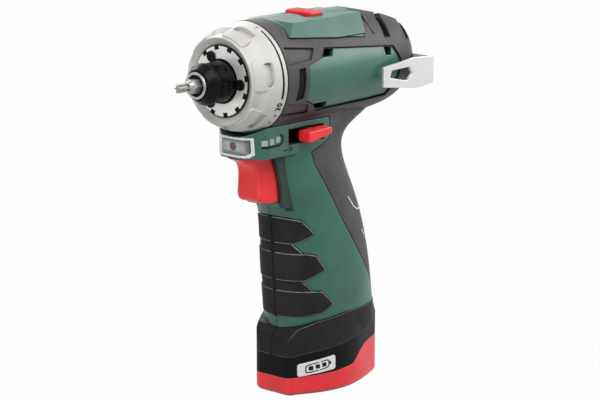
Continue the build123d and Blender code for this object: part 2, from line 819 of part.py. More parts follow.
def rear_vents():
    """Slanted slots over the side of the rear cap."""
    slots = Part()
    for floor, plan in REAR_VENTS:
        slots += plan_prism(plan, floor, FAR)
    return slots


def lamp_outline(inset):
    """Side view of the lamp window."""
    return [(-FAR, LAMP_FLOOR + inset), (-FAR, LAMP_TOP - inset), (LAMP_REAR_HIGH - inset, LAMP_TOP - inset),
            (LAMP_REAR_LOW - inset, LAMP_CORNER_LOW + inset), (LAMP_REAR_CORNER - inset, LAMP_FLOOR + inset)]


def lamp_layer(inset):
    """Outer layer of the chin inside the lamp window."""
    layer = chin(0) - chin(LAMP_DEEP)
    return layer & side_prism(lamp_outline(inset), -FAR, FAR)


def hook_slot():
    """Slot through the left side for the belt hook."""
    return block(HOOK_END, FAR, HOOK_ROOT_FRONT - SEAT_GAP, HOOK_ROOT_REAR + SEAT_GAP,
                 HOOK_ROOT_LOW - SEAT_GAP, HOOK_ROOT_HIGH + SEAT_GAP)


def gauge_holes():
    """Holes of the charge windows, on the left."""
    holes = Part()
    for y, z in GAUGE_PLACES:
        holes += block(CHIN_ROOM_HALF, CHIN_HALF, y - GAUGE_HALF, y + GAUGE_HALF, z - GAUGE_HALF,
                       z + GAUGE_HALF)
    return holes


def screw_row(radius, x0, x1):
    """Round bars across the tool in the places of the housing screws."""
    bars = Part()
    for y, z in SCREW_PLACES:
        bars += cross_bar(radius, x0, x1, y, z)
    return bars


def screw_pilots():
    """Holes for the housing screws, on both sides of the split."""
    return screw_row(SCREW_R + RUN_GAP, SCREW_HEAD_X - PAST, SCREW_END_X + PAST)


def screw_wells():
    """Sunk places of the screw heads, on the right side."""
    return screw_row(SCREW_HEAD_R + SCREW_HEAD_GAP, -FAR, SCREW_HEAD_X)


def housing_screws():
    """Screws that hold the halves together."""
    screws = screw_row(SCREW_R, SCREW_HEAD_X, SCREW_END_X)
    return screws + screw_row(SCREW_HEAD_R, SCREW_HEAD_X - SCREW_HEAD_TALL, SCREW_HEAD_X)


def cover_room(core, gap):
    """Space of the soft cover on the left half, drawn in by the gap round its edge."""
    room = side_prism(COVER_OUTLINE, 0, FAR, gap)
    spine = block(-PAST, SPINE_HALF + gap, SPINE_FRONT, FAR, SPINE_LOW - gap, SPINE_HIGH + gap)
    return room - [side_prism(WINDOW_OUTLINE, 0, FAR, -gap), spine, core]


def finger_pads(body, core):
    """Finger pads of the left half: a flush base with three raised pads."""
    pads = (body & side_prism(PAD_OUTLINE, 0, FAR, EDGE_GAP)) - core
    proud = left_half(grip(-PAD_PROUD)) - grip(SKIN)
    for outline in RAISED_PADS:
        pads += proud & side_prism(outline, 0, FAR, EDGE_GAP)
    return pads


def window_room():
    """Sunk green panel in the side of the barrel."""
    return side_prism(WINDOW_OUTLINE, VENT_IN, FAR) - barrel(WINDOW_DEEP)


def panel_rooms():
    """Sunk panels moulded into the soft cover behind the collar."""
    panels = Part()
    for outline in PANEL_OUTLINES:
        panels += side_prism(outline, VENT_IN, FAR)
    return panels - bar(BARREL_R - PANEL_DEEP, BARREL_FRONT - PAST, BARREL_STRAIGHT_END)


def foot_ring():
    """Dark-grey foot round the handle: sides that lean in a little under a sloped top with a low shoulder."""
    tall = above_seam(base_prism(0, BASE_Z, SEAM_Z + FOOT_STOCK))
    low = Plane(origin=(0, -SEAM_Y, FOOT_BEVEL_LOW)) * base_plan(-FOOT_FLARE)
    high = Plane(origin=(0, -SEAM_Y, FOOT_TOP)) * base_plan(FOOT_BEVEL)
    bevel = LEAN_PLANE.location * loft([low, high], ruled=True)
    lower = tall - leaning(-FAR, FAR, -FAR, FAR, FOOT_BEVEL_LOW, FAR)
    whole = (tall & bevel) + [lower, above_seam(grip(-FOOT_PROUD))]
    return whole - side_prism(over(FOOT_SLOPE), -FAR, FAR)


def latch_slot():
    """Slot for the tab of the battery latch."""
    half = TAB_HALF + SLIDE_GAP
    return block(-half, half, TAB_FRONT - LATCH_TRAVEL - SLIDE_GAP, TAB_REAR + TAB_SWING,
                 LATCH_HIGH - PAST, TAB_TOP + TAB_ROOM)


def save(name, shape):
    """Lift a piece onto the base and write it."""
    placed = Pos(0, -BASE_SETBACK, AXIS_HEIGHT) * shape
    export_step(placed, f"parts/{name}.step")


def build_housing():
    """Green halves, soft covers, finger pads, foot and screws."""
    body = above_seam(outer(0, True)) + side_prism(RIM_OUTLINE, 0, RIM_HALF)
    core = outer(SKIN, False)
    finger = side_prism(PAD_OUTLINE, 0, FAR) - core
    foot = left_half(foot_ring() - grip(FOOT_WALL))
    foot -= [latch_slot(), stem_shape(SLIDE_GAP, -FOOT_TOP, WELL_TOP)]
    shell = body - [cover_room(core, 0.0), finger, foot]
    shell -= [hollow(), openings(), window_room(), vents(), lamp_layer(0), latch_slot()]
    cover = body & cover_room(core, EDGE_GAP)
    cover -= [openings(), panel_rooms(), rear_vents()]
    pads = finger_pads(body, core) - openings()
    save("housing_left", shell - [hook_slot(), gauge_holes(), screw_pilots()])
    save("housing_right", right_of(shell) - [screw_pilots(), screw_wells()])
    save("cover_left", cover - hook_slot())
    save("cover_right", right_of(cover) - screw_wells())
    save("finger_pads_left", pads)
    save("finger_pads_right", right_of(pads) - screw_wells())
    save("foot_left", foot)
    save("foot_right", right_of(foot))
    save("housing_screws", housing_screws())


# Lamp, gauge and belt hook

def belt_hook():
    """Bent sheet-metal hook with a window in its arm."""
    sheet = plan_prism(HOOK_PLAN, -FAR, FAR)
    return (sheet & side_prism(HOOK_SIDE, 0, FAR)) - side_prism(HOOK_WINDOW, 0, FAR)


def lamp_board():
    """Small board in the chin with the lamp on it."""
    board = block(-BOARD_HALF, BOARD_HALF, CHIN_ROOM_FRONT, CHIN_ROOM_FRONT + BOARD_THICK, CHIN_ROOM_FLOOR,
                  CHIN_ROOM_TOP)
    middle = (LAMP_TUNNEL_LOW + LAMP_TUNNEL_HIGH) / 2
    return board + Pos(0, 0, middle) * bar(LED_R, CHIN_FRONT + LAMP_DEEP + SEAT_GAP, CHIN_ROOM_FRONT)


def build_lamp():
    """Lamp lens, its bright frame and board, the charge gauge and the belt hook."""
    save("lamp_lens", lamp_layer(LAMP_FRAME))
    save("lamp_bezel", lamp_layer(0) - side_prism(lamp_outline(LAMP_FRAME), -FAR, FAR))
    save("lamp_board", lamp_board())
    save("charge_windows", gauge_holes() & chin(0))
    save("belt_hook", belt_hook())


# Controls

def trigger():
    """Trigger drawn through level sections with rounded front corners, and its plunger."""
    faces = []
    for height, front, half in TRIGGER_SECTIONS:
        corners = [(-half, front), (-TRIGGER_HALF, TRIGGER_FLARE), (-TRIGGER_HALF, TRIGGER_BACK),
                   (TRIGGER_HALF, TRIGGER_BACK), (TRIGGER_HALF, TRIGGER_FLARE), (half, front)]
        plan = make_face(Polyline(*corners, close=True))
        plan = fillet(plan.vertices().filter_by(lambda v: v.Y < TRIGGER_FLARE - PAST), TRIGGER_ROUND)
        faces.append(Plane(origin=(0, 0, height)) * plan)
    return loft(faces) + Pos(0, 0, PLUNGER_Z) * bar(PLUNGER_R, TRIGGER_BACK - PAST, PLUNGER_REAR)


def coil(radius, wire, start, end, turns):
    """Wound spring along the spindle direction, its wire between two faces."""
    low = start + wire / 2
    long = end - start - wire
    path = Helix(long / turns, long, radius, center=(0, low, 0), direction=(0, 1, 0))
    section = Plane(origin=path @ 0, z_dir=path % 0) * Circle(wire / 2)
    return sweep(section, path, is_frenet=True)


def direction_button():
    """Direction button that slides right across the handle."""
    side = [(BUTTON_FRONT, BUTTON_FLOOR_FRONT), (BUTTON_FRONT, BUTTON_TOP_FRONT),
            (BUTTON_REAR, BUTTON_TOP_REAR), (BUTTON_REAR, BUTTON_FLOOR_REAR)]
    body = side_prism(side, BUTTON_OUT - BUTTON_LONG, BUTTON_OUT)
    body = fillet(body.edges().filter_by(Axis.X), BUTTON_ROUND)
    body = fillet(body.faces().filter_by(Plane.YZ).edges(), BUTTON_EDGE)
    body -= block(BUTTON_WAIST_IN, BUTTON_WAIST_OUT, -FAR, BUTTON_FRONT + BUTTON_WAIST, -FAR, 0)
    return body + block(-PEG_HALF, PEG_HALF, PEG_FRONT, PEG_REAR, SWITCH_TOP + PEG_GAP, PEG_TOP)


def shift_lug():
    """Lug on top of the shift ring that the selector's leg holds."""
    return block(-SHIFT_LUG_HALF, SHIFT_LUG_HALF, SHIFT_LUG_FRONT, SHIFT_LUG_REAR, RING_OUT_R - PAST,
                 LEG_FLOOR + PAST)


def selector():
    """Ribbed red gear selector in the roof, with the leg that moves the shift ring."""
    body = block(-SELECTOR_HALF, SELECTOR_HALF, SELECTOR_FRONT, SELECTOR_REAR, SELECTOR_FLOOR, SELECTOR_TOP)
    body = chamfer(body.edges().group_by(Axis.Z)[-1], SELECTOR_BEVEL)
    body += block(-LEG_HALF, LEG_HALF, SHIFT_LUG_FRONT - LEG_WALL, SHIFT_LUG_REAR + LEG_WALL, LEG_FLOOR,
                  SELECTOR_FLOOR)
    half = SELECTOR_HALF - SELECTOR_GROOVE_END
    for k in range(SELECTOR_GROOVES):
        y = SELECTOR_FRONT + (SELECTOR_REAR - SELECTOR_FRONT) * (k + 1) / (SELECTOR_GROOVES + 1)
        body -= block(-half, half, y - SELECTOR_GROOVE_HALF, y + SELECTOR_GROOVE_HALF,
                      SELECTOR_TOP - SELECTOR_GROOVE_DEEP, FAR)
    return body - shift_lug()


def shift_ring():
    """Sliding ring gear of the first stage with its lug."""
    start = FIRST_FRONT - RING_LEAD
    ring = ring_gear(start, start + SHIFT_LENGTH)
    return ring + (shift_lug() - bar(RING_OUT_R - PAST / 2, start, start + SHIFT_LENGTH))


def switch_body():
    """Switch behind the trigger with the bore for the plunger."""
    switch = block(-SWITCH_HALF, SWITCH_HALF, SWITCH_FRONT, SWITCH_REAR, SWITCH_FLOOR, SWITCH_TOP)
    bore = bar(PLUNGER_R + PLUNGER_GAP, SWITCH_FRONT - PAST, PLUNGER_REAR + TRIGGER_TRAVEL + PAST)
    return switch - Pos(0, 0, PLUNGER_Z) * bore


def build_controls():
    """Trigger, direction button, selector and switch."""
    save("trigger", trigger())
    gap = TRIGGER_WIRE / 2
    spring = coil(TRIGGER_SPRING_R, TRIGGER_WIRE, TRIGGER_BACK + gap, SWITCH_FRONT - gap, TRIGGER_TURNS)
    save("trigger_spring", Pos(0, 0, PLUNGER_Z) * spring)
    save("direction_button", direction_button())
    save("gear_selector", selector())
    save("shift_ring", shift_ring())
    save("switch_body", switch_body())


# Gears and clutch

def tooth_wheel(teeth, middle, inner, inner_share, tip, tip_share, start, end):
    """Straight-flanked toothed outline drawn along the spindle axis."""
    points = []
    pitch = 2 * pi / teeth
    for k in range(teeth):
        centre = radians(middle) + k * pitch
        for radius, share in ((inner, -inner_share), (tip, -tip_share), (tip, tip_share), (inner, inner_share)):
            angle = centre + share * pitch / 2
            points.append((radius * cos(angle), radius * sin(angle)))
    return extrude(facing(end) * make_face(Polyline(*points, close=True)), end - start)


def wheel(middle, start, end):
    """Small gear: pinion, sun or planet."""
    radius = MODULE * PINION_TEETH / 2
    return tooth_wheel(PINION_TEETH, middle, radius - TOOTH_IN * MODULE, ROOT_SHARE,
                       radius + TOOTH_OUT * MODULE, TIP_SHARE, start, end)


def ring_gear(start, end):
    """Internal gear ring."""
    radius = MODULE * RING_TEETH / 2
    hole = tooth_wheel(RING_TEETH, 90.0, radius - TOOTH_OUT * MODULE, RING_TIP_GAP,
                       radius + TOOTH_IN * MODULE, RING_ROOT_GAP, start - PAST, end + PAST)
    return bar(RING_OUT_R, start, end) - hole


def planet(angle, start, end):
    """Planet gear with its bore, in place."""
    gear = wheel(angle, start, end) - bar(PIN_R + RUN_GAP, start - PAST, end + PAST)
    return polar(MODULE * PINION_TEETH, angle) * gear


def carrier_pins(start, end):
    """Pins that carry the three planets."""
    pins = Part()
    for angle in PLANET_ANGLES.values():
        pins += polar(MODULE * PINION_TEETH, angle) * bar(PIN_R, start, end)
    return pins


def ball_places():
    """Moves to the places of the clutch balls."""
    return [polar(BALL_PCD_R, BALL_TURN + 360 * k / BALL_COUNT) for k in range(BALL_COUNT)]


def gear_case():
    """Case with the web for the clutch balls and the hub for the spindle bush."""
    case = tube(CASE_R, CASE_IN_R, CASE_WEB_FRONT, CASE_REAR)
    case += tube(CASE_R, BUSH_R, CASE_WEB_FRONT, CASE_WEB_REAR)
    case += tube(HUB_R, BUSH_R, HUB_FRONT, CASE_WEB_FRONT)
    for place in ball_places():
        case -= place * bar(BALL_R + BALL_GAP, CASE_WEB_FRONT - PAST, CASE_WEB_REAR + PAST)
    half = LEG_HALF + SLIDE_GAP
    case -= block(-half, half, SHIFT_LUG_FRONT - LEG_WALL - SELECTOR_TRAVEL - LEG_ROOM,
                  SHIFT_LUG_REAR + LEG_WALL + LEG_ROOM, 0, FAR) - bar(RING_OUT_R, 0, CASE_REAR)
    return case - plate_screw_bars(SCREW_R, HUB_FRONT - PAST, PLATE_SCREW_END)


def plate_screw_places():
    """Moves to the places of the front-plate screws."""
    step = 360 / PLATE_SCREWS
    return [polar(PLATE_SCREW_PCD_R, PLATE_SCREW_TURN + step * k) for k in range(PLATE_SCREWS)]


def plate_screw_bars(radius, start, end):
    """Bars in the places of the front-plate screws."""
    bars = Part()
    for place in plate_screw_places():
        bars += place * bar(radius, start, end)
    return bars


def plate_screws():
    """Screws of the front plate with star sockets."""
    screws = plate_screw_bars(SCREW_R, PLATE_FRONT, PLATE_SCREW_END)
    head = PLATE_FRONT - PLATE_SCREW_HEAD
    screws += plate_screw_bars(PLATE_SCREW_HEAD_R, head, PLATE_FRONT)
    star = tooth_wheel(STAR_POINTS, 0, STAR_IN_R, STAR_ROOT_SHARE, STAR_OUT_R, STAR_TIP_SHARE,
                       head - PAST, PLATE_FRONT)
    for place in plate_screw_places():
        screws -= place * star
    return screws


def front_plate():
    """Notched metal plate inside the collar."""
    plate = tube(PLATE_R, PLATE_BORE_R, PLATE_FRONT, PLATE_REAR)
    for k in range(NOTCH_COUNT):
        notch = block(NOTCH_IN_R, PLATE_R + PAST, PLATE_FRONT - PAST, PLATE_REAR + PAST,
                      -NOTCH_HALF, NOTCH_HALF)
        plate -= turn(NOTCH_TURN + 360 * k / NOTCH_COUNT) * notch
    return plate - plate_screw_bars(SCREW_R, PLATE_FRONT - PAST, PLATE_REAR + PAST)


def lock_ring():
    """Black ring between the front plate and the hub."""
    bore = PLATE_BORE_R + LOCK_RING_GAP
    ring = tube(LOCK_RING_R, bore, PLATE_REAR, LOCK_RING_REAR)
    ring += tube(LOCK_RING_SEAT_R, bore, PLATE_REAR, HUB_FRONT)
    return ring - plate_screw_bars(SCREW_R, PLATE_REAR - PAST, HUB_FRONT + PAST)


def collar_lug():
    """Rounded lug that carries the collar's outside on towards the front, at +X."""
    front = LUG_TOP[-1][0]
    rear = LUG_TOP[0][0]
    lug = block(0, FAR, front, rear + LUG_ROUND, -LUG_HALF, LUG_HALF)
    lug = fillet(lug.edges().filter_by(Axis.X), LUG_ROUND)
    return lug & turned([(y, COLLAR_R - drop) for y, drop in LUG_TOP + LUG_UNDER])


def lug_pocket():
    """Sunk place behind a lug, at +X."""
    pocket = block(0, FAR, POCKET_FRONT, POCKET_REAR, -POCKET_HALF, POCKET_HALF)
    pocket = fillet(pocket.edges().filter_by(Axis.X), POCKET_ROUND)
    return pocket - bar(POCKET_R, POCKET_FRONT - PAST, POCKET_REAR + PAST)


def nut_lug(gap, deep_gap, start, end):
    """Lug of the clutch nut, or the groove for it, at +X."""
    half = NUT_LUG_HALF + gap
    lug = block(HUB_R + PAST, FAR, start, end, -half, half)
    return lug & bar(NUT_LUG_R + deep_gap, start - PAST, end + PAST)


def torque_collar():
    """Collar with its six lugs, and grooves inside for the nut."""
    profile = [(y, COLLAR_R - drop) for y, drop in COLLAR_OUTSIDE + COLLAR_LIP]
    collar = turned(profile + [(COLLAR_ROOM, COLLAR_IN_R), (0, COLLAR_IN_R)])
    lug = collar_lug()
    pocket = lug_pocket()
    for k in range(LUG_COUNT):
        place = turn(LUG_TURN + 360 * k / LUG_COUNT)
        collar += place * lug
        collar -= place * pocket
    groove = nut_lug(SEAT_GAP, GROOVE_DEEP_GAP, GROOVE_FRONT, PAST)
    for k in range(NUT_LUGS):
        collar -= turn(NUT_TURN + 360 * k / NUT_LUGS) * groove
    return collar


def clutch_nut():
    """Nut that the collar drives along the hub."""
    nut = tube(NUT_R, HUB_R + LOOSE_GAP, NUT_FRONT, NUT_REAR)
    lug = nut_lug(0, 0, NUT_FRONT, NUT_REAR) - bar(NUT_R - PAST, NUT_FRONT - PAST, NUT_REAR + PAST)
    for k in range(NUT_LUGS):
        nut += turn(NUT_TURN + 360 * k / NUT_LUGS) * lug
    return nut


def clutch_balls():
    """Ring of balls that hold the clutch ring."""
    balls = Part()
    for place in ball_places():
        balls += place * Pos(0, BALL_Y, 0) * Sphere(BALL_R)
    return balls


def hexagon(flats, start, end):
    """Hexagonal bar on the spindle axis."""
    return extrude(facing(end) * RegularPolygon(flats / 2, 6, major_radius=False), end - start)


def spindle():
    """Output spindle: carrier flange, shaft and nose with the bit socket."""
    body = turned([(NOSE_END, 0), (NOSE_END, NOSE_END_R), (NOSE_CONE, NOSE_R), (NOSE_BACK, NOSE_R),
                   (NOSE_BACK, SHAFT_R), (FLANGE_FRONT, SHAFT_R), (FLANGE_FRONT, CARRIER_R),
                   (FLANGE_REAR, CARRIER_R), (FLANGE_REAR, 0)])
    body += carrier_pins(FLANGE_REAR - PAST, SECOND_REAR + PIN_PROUD)
    body -= hexagon(HEX_FLATS + HEX_GAP, NOSE_END - PAST, SOCKET_END)
    pocket = block(NOSE_POCKET_R, FAR, NOSE_POCKET_FRONT, NOSE_POCKET_REAR, -NOSE_POCKET_HALF, NOSE_POCKET_HALF)
    for k in range(NOSE_POCKETS):
        body -= turn(NOSE_POCKET_TURN + 360 * k / NOSE_POCKETS) * pocket
    return body


def bit():
    """Driver bit with a six-pointed star tip."""
    body = hexagon(HEX_FLATS, BIT_SHOULDER, SOCKET_END - BIT_SEAT_GAP)
    body += turned([(BIT_SHOULDER, 0), (BIT_SHOULDER, HEX_FLATS / 2), (BIT_NECK, BIT_TIP_R), (BIT_NECK, 0)])
    star = tooth_wheel(STAR_POINTS, 0, BIT_ROOT_R, STAR_ROOT_SHARE, BIT_TIP_R, BIT_TIP_SHARE, BIT_TIP, BIT_NECK)
    return body + star


def carrier():
    """First carrier with its pins and the sun gear of the second stage."""
    body = bar(CARRIER_R, CARRIER_FRONT, CARRIER_REAR)
    body += carrier_pins(CARRIER_REAR - PAST, FIRST_REAR + PIN_PROUD)
    return body + wheel(90.0, FLANGE_REAR + SUN_GAP, CARRIER_FRONT + PAST)


def build_clutch():
    """Clutch between the gear case and the collar."""
    plate_rear = BALL_Y - BALL_R
    plate_front = plate_rear - CLUTCH_PLATE
    save("clutch_ring", ring_gear(CASE_WEB_REAR + RING_SEAT, SECOND_REAR + PIN_PROUD))
    save("clutch_balls", clutch_balls())
    save("clutch_plate", tube(CLUTCH_PLATE_R, HUB_R + SEAT_GAP, plate_front, plate_rear))
    save("clutch_spring", coil(SPRING_R, SPRING_WIRE, NUT_REAR + SPRING_SEAT, plate_front - SPRING_SEAT,
                               SPRING_TURNS))
    save("clutch_nut", clutch_nut())
    save("torque_collar", torque_collar())


def build_gears():
    """Gear case with its front plate, gears, spindle and bit."""
    save("gear_case", gear_case())
    save("front_plate", front_plate())
    save("lock_ring", lock_ring())
    save("plate_screws", plate_screws())
    for name, angle in PLANET_ANGLES.items():
        save(f"planet_1{name}", planet(angle, FIRST_FRONT, FIRST_REAR))
        save(f"planet_2{name}", planet(angle, SECOND_FRONT, SECOND_REAR))
    save("carrier", carrier())
    save("spindle", spindle())
    save("spindle_bush", tube(BUSH_R, SHAFT_R + RUN_GAP, BUSH_FRONT, BUSH_REAR))
    save("tip_ring", tube(TIP_RING_R, TIP_RING_IN_R, TIP_END, NOSE_END))
    save("bit", bit())


# Motor

def motor_can():
    """Steel can with the plate that closes the gear case."""
    can = tube(MOTOR_R, MOTOR_R - MOTOR_WALL, MOTOR_FRONT, MOTOR_REAR)
    can += tube(MOTOR_R, MOTOR_BUSH_R, MOTOR_FRONT, MOTOR_FRONT + MOTOR_WALL)
    return can + tube(CASE_IN_R, MOTOR_PLATE_BORE_R, CASE_REAR - MOTOR_PLATE, CASE_REAR)


def motor_magnets():
    """Two curved magnets inside the can."""
    ring = tube(MOTOR_R - MOTOR_WALL, MAGNET_IN_R, MAGNET_FRONT, MAGNET_REAR)
    return ring & block(-FAR, FAR, -FAR, FAR, -MAGNET_HALF, MAGNET_HALF)


def motor_brushes(gap):
    """Two carbon brushes, or the room for them."""
    half = BRUSH_HALF + gap
    brush = block(BRUSH_IN, BRUSH_OUT, BRUSH_FRONT - gap, BRUSH_REAR + gap, -half, half)
    return brush + right_of(brush)


def motor_end_cap():
    """End cap with its boss and the two brush holders."""
    cap = tube(MOTOR_R, MOTOR_BUSH_R, MOTOR_REAR, MOTOR_CAP_END)
    cap += tube(MOTOR_BOSS_R, MOTOR_BUSH_R, MOTOR_CAP_END - PAST, MOTOR_BOSS_END)
    half = BRUSH_HALF + BRUSH_WALL
    holder = block(BRUSH_IN + BRUSH_WALL, BRUSH_OUT + BRUSH_WALL, BRUSH_FRONT - BRUSH_WALL,
                   MOTOR_REAR + PAST, -half, half)
    return cap + [holder, right_of(holder)] - motor_brushes(RUN_GAP)


def motor_bushes():
    """Front and rear bush of the motor shaft."""
    inner = MOTOR_SHAFT_R + RUN_GAP
    rear = MOTOR_BOSS_END - PAST
    front = tube(MOTOR_BUSH_R, inner, MOTOR_FRONT, MOTOR_FRONT + MOTOR_BUSH_FRONT_LONG)
    return front + tube(MOTOR_BUSH_R, inner, rear - MOTOR_BUSH_REAR_LONG, rear)


def armature():
    """Slotted iron core."""
    core = tube(ARMATURE_R, MOTOR_SHAFT_R, ARMATURE_FRONT, ARMATURE_REAR)
    front = ARMATURE_FRONT - PAST
    rear = ARMATURE_REAR + PAST
    slot = block(SLOT_IN_R, SLOT_OUT_R, front, rear, -SLOT_HALF, SLOT_HALF)
    slot += block(SLOT_OUT_R - PAST, FAR, front, rear, -SLOT_MOUTH_HALF, SLOT_MOUTH_HALF)
    for k in range(ARMATURE_SLOTS):
        core -= turn(360 * k / ARMATURE_SLOTS) * slot
    return core


def windings():
    """Copper heads at both ends of the core."""
    front = tube(WINDING_R, MOTOR_SHAFT_R, ARMATURE_FRONT - WINDING_LENGTH, ARMATURE_FRONT)
    return front + tube(WINDING_R, MOTOR_SHAFT_R, ARMATURE_REAR, ARMATURE_REAR + WINDING_LENGTH)


def fan():
    """Cooling fan on the motor shaft."""
    body = tube(FAN_R, MOTOR_SHAFT_R, FAN_REAR - FAN_DISC, FAN_REAR)
    body += tube(FAN_HUB_R, MOTOR_SHAFT_R, FAN_FRONT, FAN_REAR)
    blade = block(FAN_HUB_R - FAN_BLADE_HALF, FAN_R - FAN_BLADE_IN, FAN_FRONT, FAN_REAR - FAN_DISC / 2,
                  -FAN_BLADE_HALF, FAN_BLADE_HALF)
    for k in range(FAN_BLADES):
        body += turn(360 * k / FAN_BLADES) * blade
    return body


def pinion():
    """Pinion on the motor shaft."""
    gear = wheel(90.0, CARRIER_REAR + SUN_GAP, FIRST_REAR + PAST)
    return gear - bar(MOTOR_SHAFT_R, CARRIER_REAR, FIRST_REAR + 2 * PAST)


def build_motor():
    """Motor with its can, magnets, brushes and rotor."""
    save("motor_can", motor_can())
    save("motor_magnets", motor_magnets())
    save("motor_end_cap", motor_end_cap())
    save("motor_brushes", motor_brushes(0))
    save("motor_bushes", motor_bushes())
    save("motor_shaft", bar(MOTOR_SHAFT_R, MOTOR_SHAFT_FRONT, MOTOR_SHAFT_REAR))
    save("motor_core", armature())
    save("motor_windings", windings())
    save("motor_commutator", tube(COMMUTATOR_R, MOTOR_SHAFT_R, COMMUTATOR_FRONT, COMMUTATOR_REAR))
    save("motor_fan", fan())
    save("motor_pinion", pinion())


# Battery

def cell_bars(radius):
    """Three cells in the leaning stem, or their bores."""
    cells = Part()
    for x, y in CELL_PLACES:
        cells += LEAN_PLANE.location * Pos(x, y, CELL_LOW + CELL_LENGTH / 2) * Cylinder(radius, CELL_LENGTH)
    return cells


def contact_row(x0, x1, half_y, low, high):
    """Three like boxes at the contact pitch."""
    boxes = Part()
    for k in (-1, 0, 1):
        boxes += leaning(k * CONTACT_PITCH + x0, k * CONTACT_PITCH + x1, -half_y, half_y, low, high)
    return boxes


def battery_latch():
    """Press button at the rear with the tab that reaches into the foot."""
    button = base_prism(-LATCH_PROUD, LATCH_LOW, LATCH_HIGH)
    button &= block(-LATCH_HALF, LATCH_HALF, LATCH_FRONT, FAR, LATCH_LOW, LATCH_HIGH)
    return button + block(-TAB_HALF, TAB_HALF, TAB_FRONT, TAB_REAR, LATCH_HIGH - TAB_ROOT, TAB_TOP)


def latch_pocket():
    """Room for the press button and its travel."""
    half = LATCH_HALF + SLIDE_GAP
    return block(-half, half, LATCH_FRONT - LATCH_TRAVEL - SLIDE_GAP, FAR, LATCH_LOW - SLIDE_GAP,
                 LATCH_HIGH + SLIDE_GAP)


def battery_contacts():
    """Pairs of contact plates in the slots of the stem."""
    inner = CONTACT_SLOT - CONTACT_THICK
    low = STEM_TOP - CONTACT_DEEP
    plates = contact_row(-CONTACT_SLOT, -inner, CONTACT_HALF, low, STEM_TOP - PAST)
    return plates + contact_row(inner, CONTACT_SLOT, CONTACT_HALF, low, STEM_TOP - PAST)


def battery_label():
    """Thin plate on the left side of the lower case."""
    skin = base_prism(-LABEL_THICK, BASE_Z, SEAM_Z) - base_prism(0, BASE_Z - PAST, SEAM_Z + PAST)
    plate = make_face(Polyline(*above_base(LABEL_OUTLINE), close=True))
    plate = fillet(plate.vertices(), LABEL_ROUND)
    return skin & (Pos(LABEL_IN, 0, 0) * extrude(Plane.YZ * plate, FAR))


def build_battery():
    """Battery case in two colours, its cells, contacts, latch and label, and the terminals above it."""
    prism = base_prism(0, BASE_Z, SEAM_Z + BATTERY_TALL)
    prism = fillet(prism.edges().group_by(Axis.Z)[0], BASE_ROUND)
    whole = below_seam(prism)
    over_line = side_prism(over(above_base(RED_LINE)), -FAR, FAR)
    inside = cell_bars(CELL_R + CELL_GAP)
    case = (whole & over_line) + stem_shape(0, -PAST, STEM_TOP)
    slots = contact_row(-CONTACT_SLOT, CONTACT_SLOT, CONTACT_SLOT_HALF, STEM_TOP - CONTACT_DEEP,
                        STEM_TOP + PAST)
    save("battery_case", case - [inside, slots, latch_slot(), latch_pocket()])
    save("battery_base", whole - [over_line, inside, latch_pocket()])
    save("battery_cells", cell_bars(CELL_R))
    save("battery_contacts", battery_contacts())
    save("battery_latch", battery_latch())
    save("battery_label", battery_label())
    blades = contact_row(-BLADE_THICK / 2, BLADE_THICK / 2, BLADE_HALF, STEM_TOP - BLADE_DEEP,
                         TERMINAL_TOP - PAST)
    terminal = leaning(-TERMINAL_HALF_X, TERMINAL_HALF_X, -TERMINAL_HALF_Y, TERMINAL_HALF_Y, WELL_TOP,
                       TERMINAL_TOP)
    save("terminal_block", terminal - blades)
    save("terminal_blades", blades)


os.makedirs("parts", exist_ok=True)
build_housing()
build_lamp()
build_controls()
build_gears()
build_clutch()
build_motor()
build_battery()
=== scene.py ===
"""Dresses the cordless drill driver: finishes for its solids, printed marks, lamp, studio and camera."""
import logging
import math
from dataclasses import dataclass, field, replace
from enum import Enum
from functools import cache, cached_property
from typing import Any, Protocol

import bmesh
import bpy
import numpy as np
from mathutils import Matrix, Vector


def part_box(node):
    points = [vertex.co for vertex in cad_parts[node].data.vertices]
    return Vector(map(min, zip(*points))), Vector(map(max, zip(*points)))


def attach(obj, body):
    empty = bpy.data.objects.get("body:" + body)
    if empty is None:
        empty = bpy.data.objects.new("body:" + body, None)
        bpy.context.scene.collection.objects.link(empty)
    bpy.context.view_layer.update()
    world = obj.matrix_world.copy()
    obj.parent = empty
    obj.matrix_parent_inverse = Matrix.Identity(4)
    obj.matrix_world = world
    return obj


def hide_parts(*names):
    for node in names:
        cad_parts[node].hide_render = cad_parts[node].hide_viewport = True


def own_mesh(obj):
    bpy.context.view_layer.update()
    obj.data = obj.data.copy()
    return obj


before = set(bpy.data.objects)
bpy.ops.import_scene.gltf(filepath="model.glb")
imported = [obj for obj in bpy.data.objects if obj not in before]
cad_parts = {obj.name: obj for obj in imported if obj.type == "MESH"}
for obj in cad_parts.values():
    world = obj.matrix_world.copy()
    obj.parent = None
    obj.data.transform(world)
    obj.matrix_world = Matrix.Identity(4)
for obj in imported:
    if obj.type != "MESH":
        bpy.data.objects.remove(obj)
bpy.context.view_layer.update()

MM = 0.001
# Where the spindle axis meets the collar's rear edge, in millimetres in the model's frame
AXIS = np.array((0.0, -49.0, 160.0))
LOG = logging.getLogger("drill")

Array = np.ndarray
Socket = bpy.types.NodeSocket
Pair = tuple[float, float]
Triple = tuple[float, float, float]
Colour = tuple[float, float, float, float]
# A number, an array of numbers, or what else a socket takes: a colour, a vector, another socket or a signal
Value = Any


def tint(red: int, green: int, blue: int) -> Colour:
    """Turn a colour as seen on a screen into the linear colour that a shader mixes, by the sRGB curve.

    Args:
        red: Red, from 0 to 255.
        green: Green, from 0 to 255.
        blue: Blue, from 0 to 255.

    Returns:
        Linear red, green and blue with full alpha.
    """
    seen = np.array((red, green, blue)) / 255.0
    linear = np.where(seen <= 0.04045, seen / 12.92, ((seen + 0.055) / 1.055) ** 2.4)
    return (*[float(part) for part in linear], 1.0)


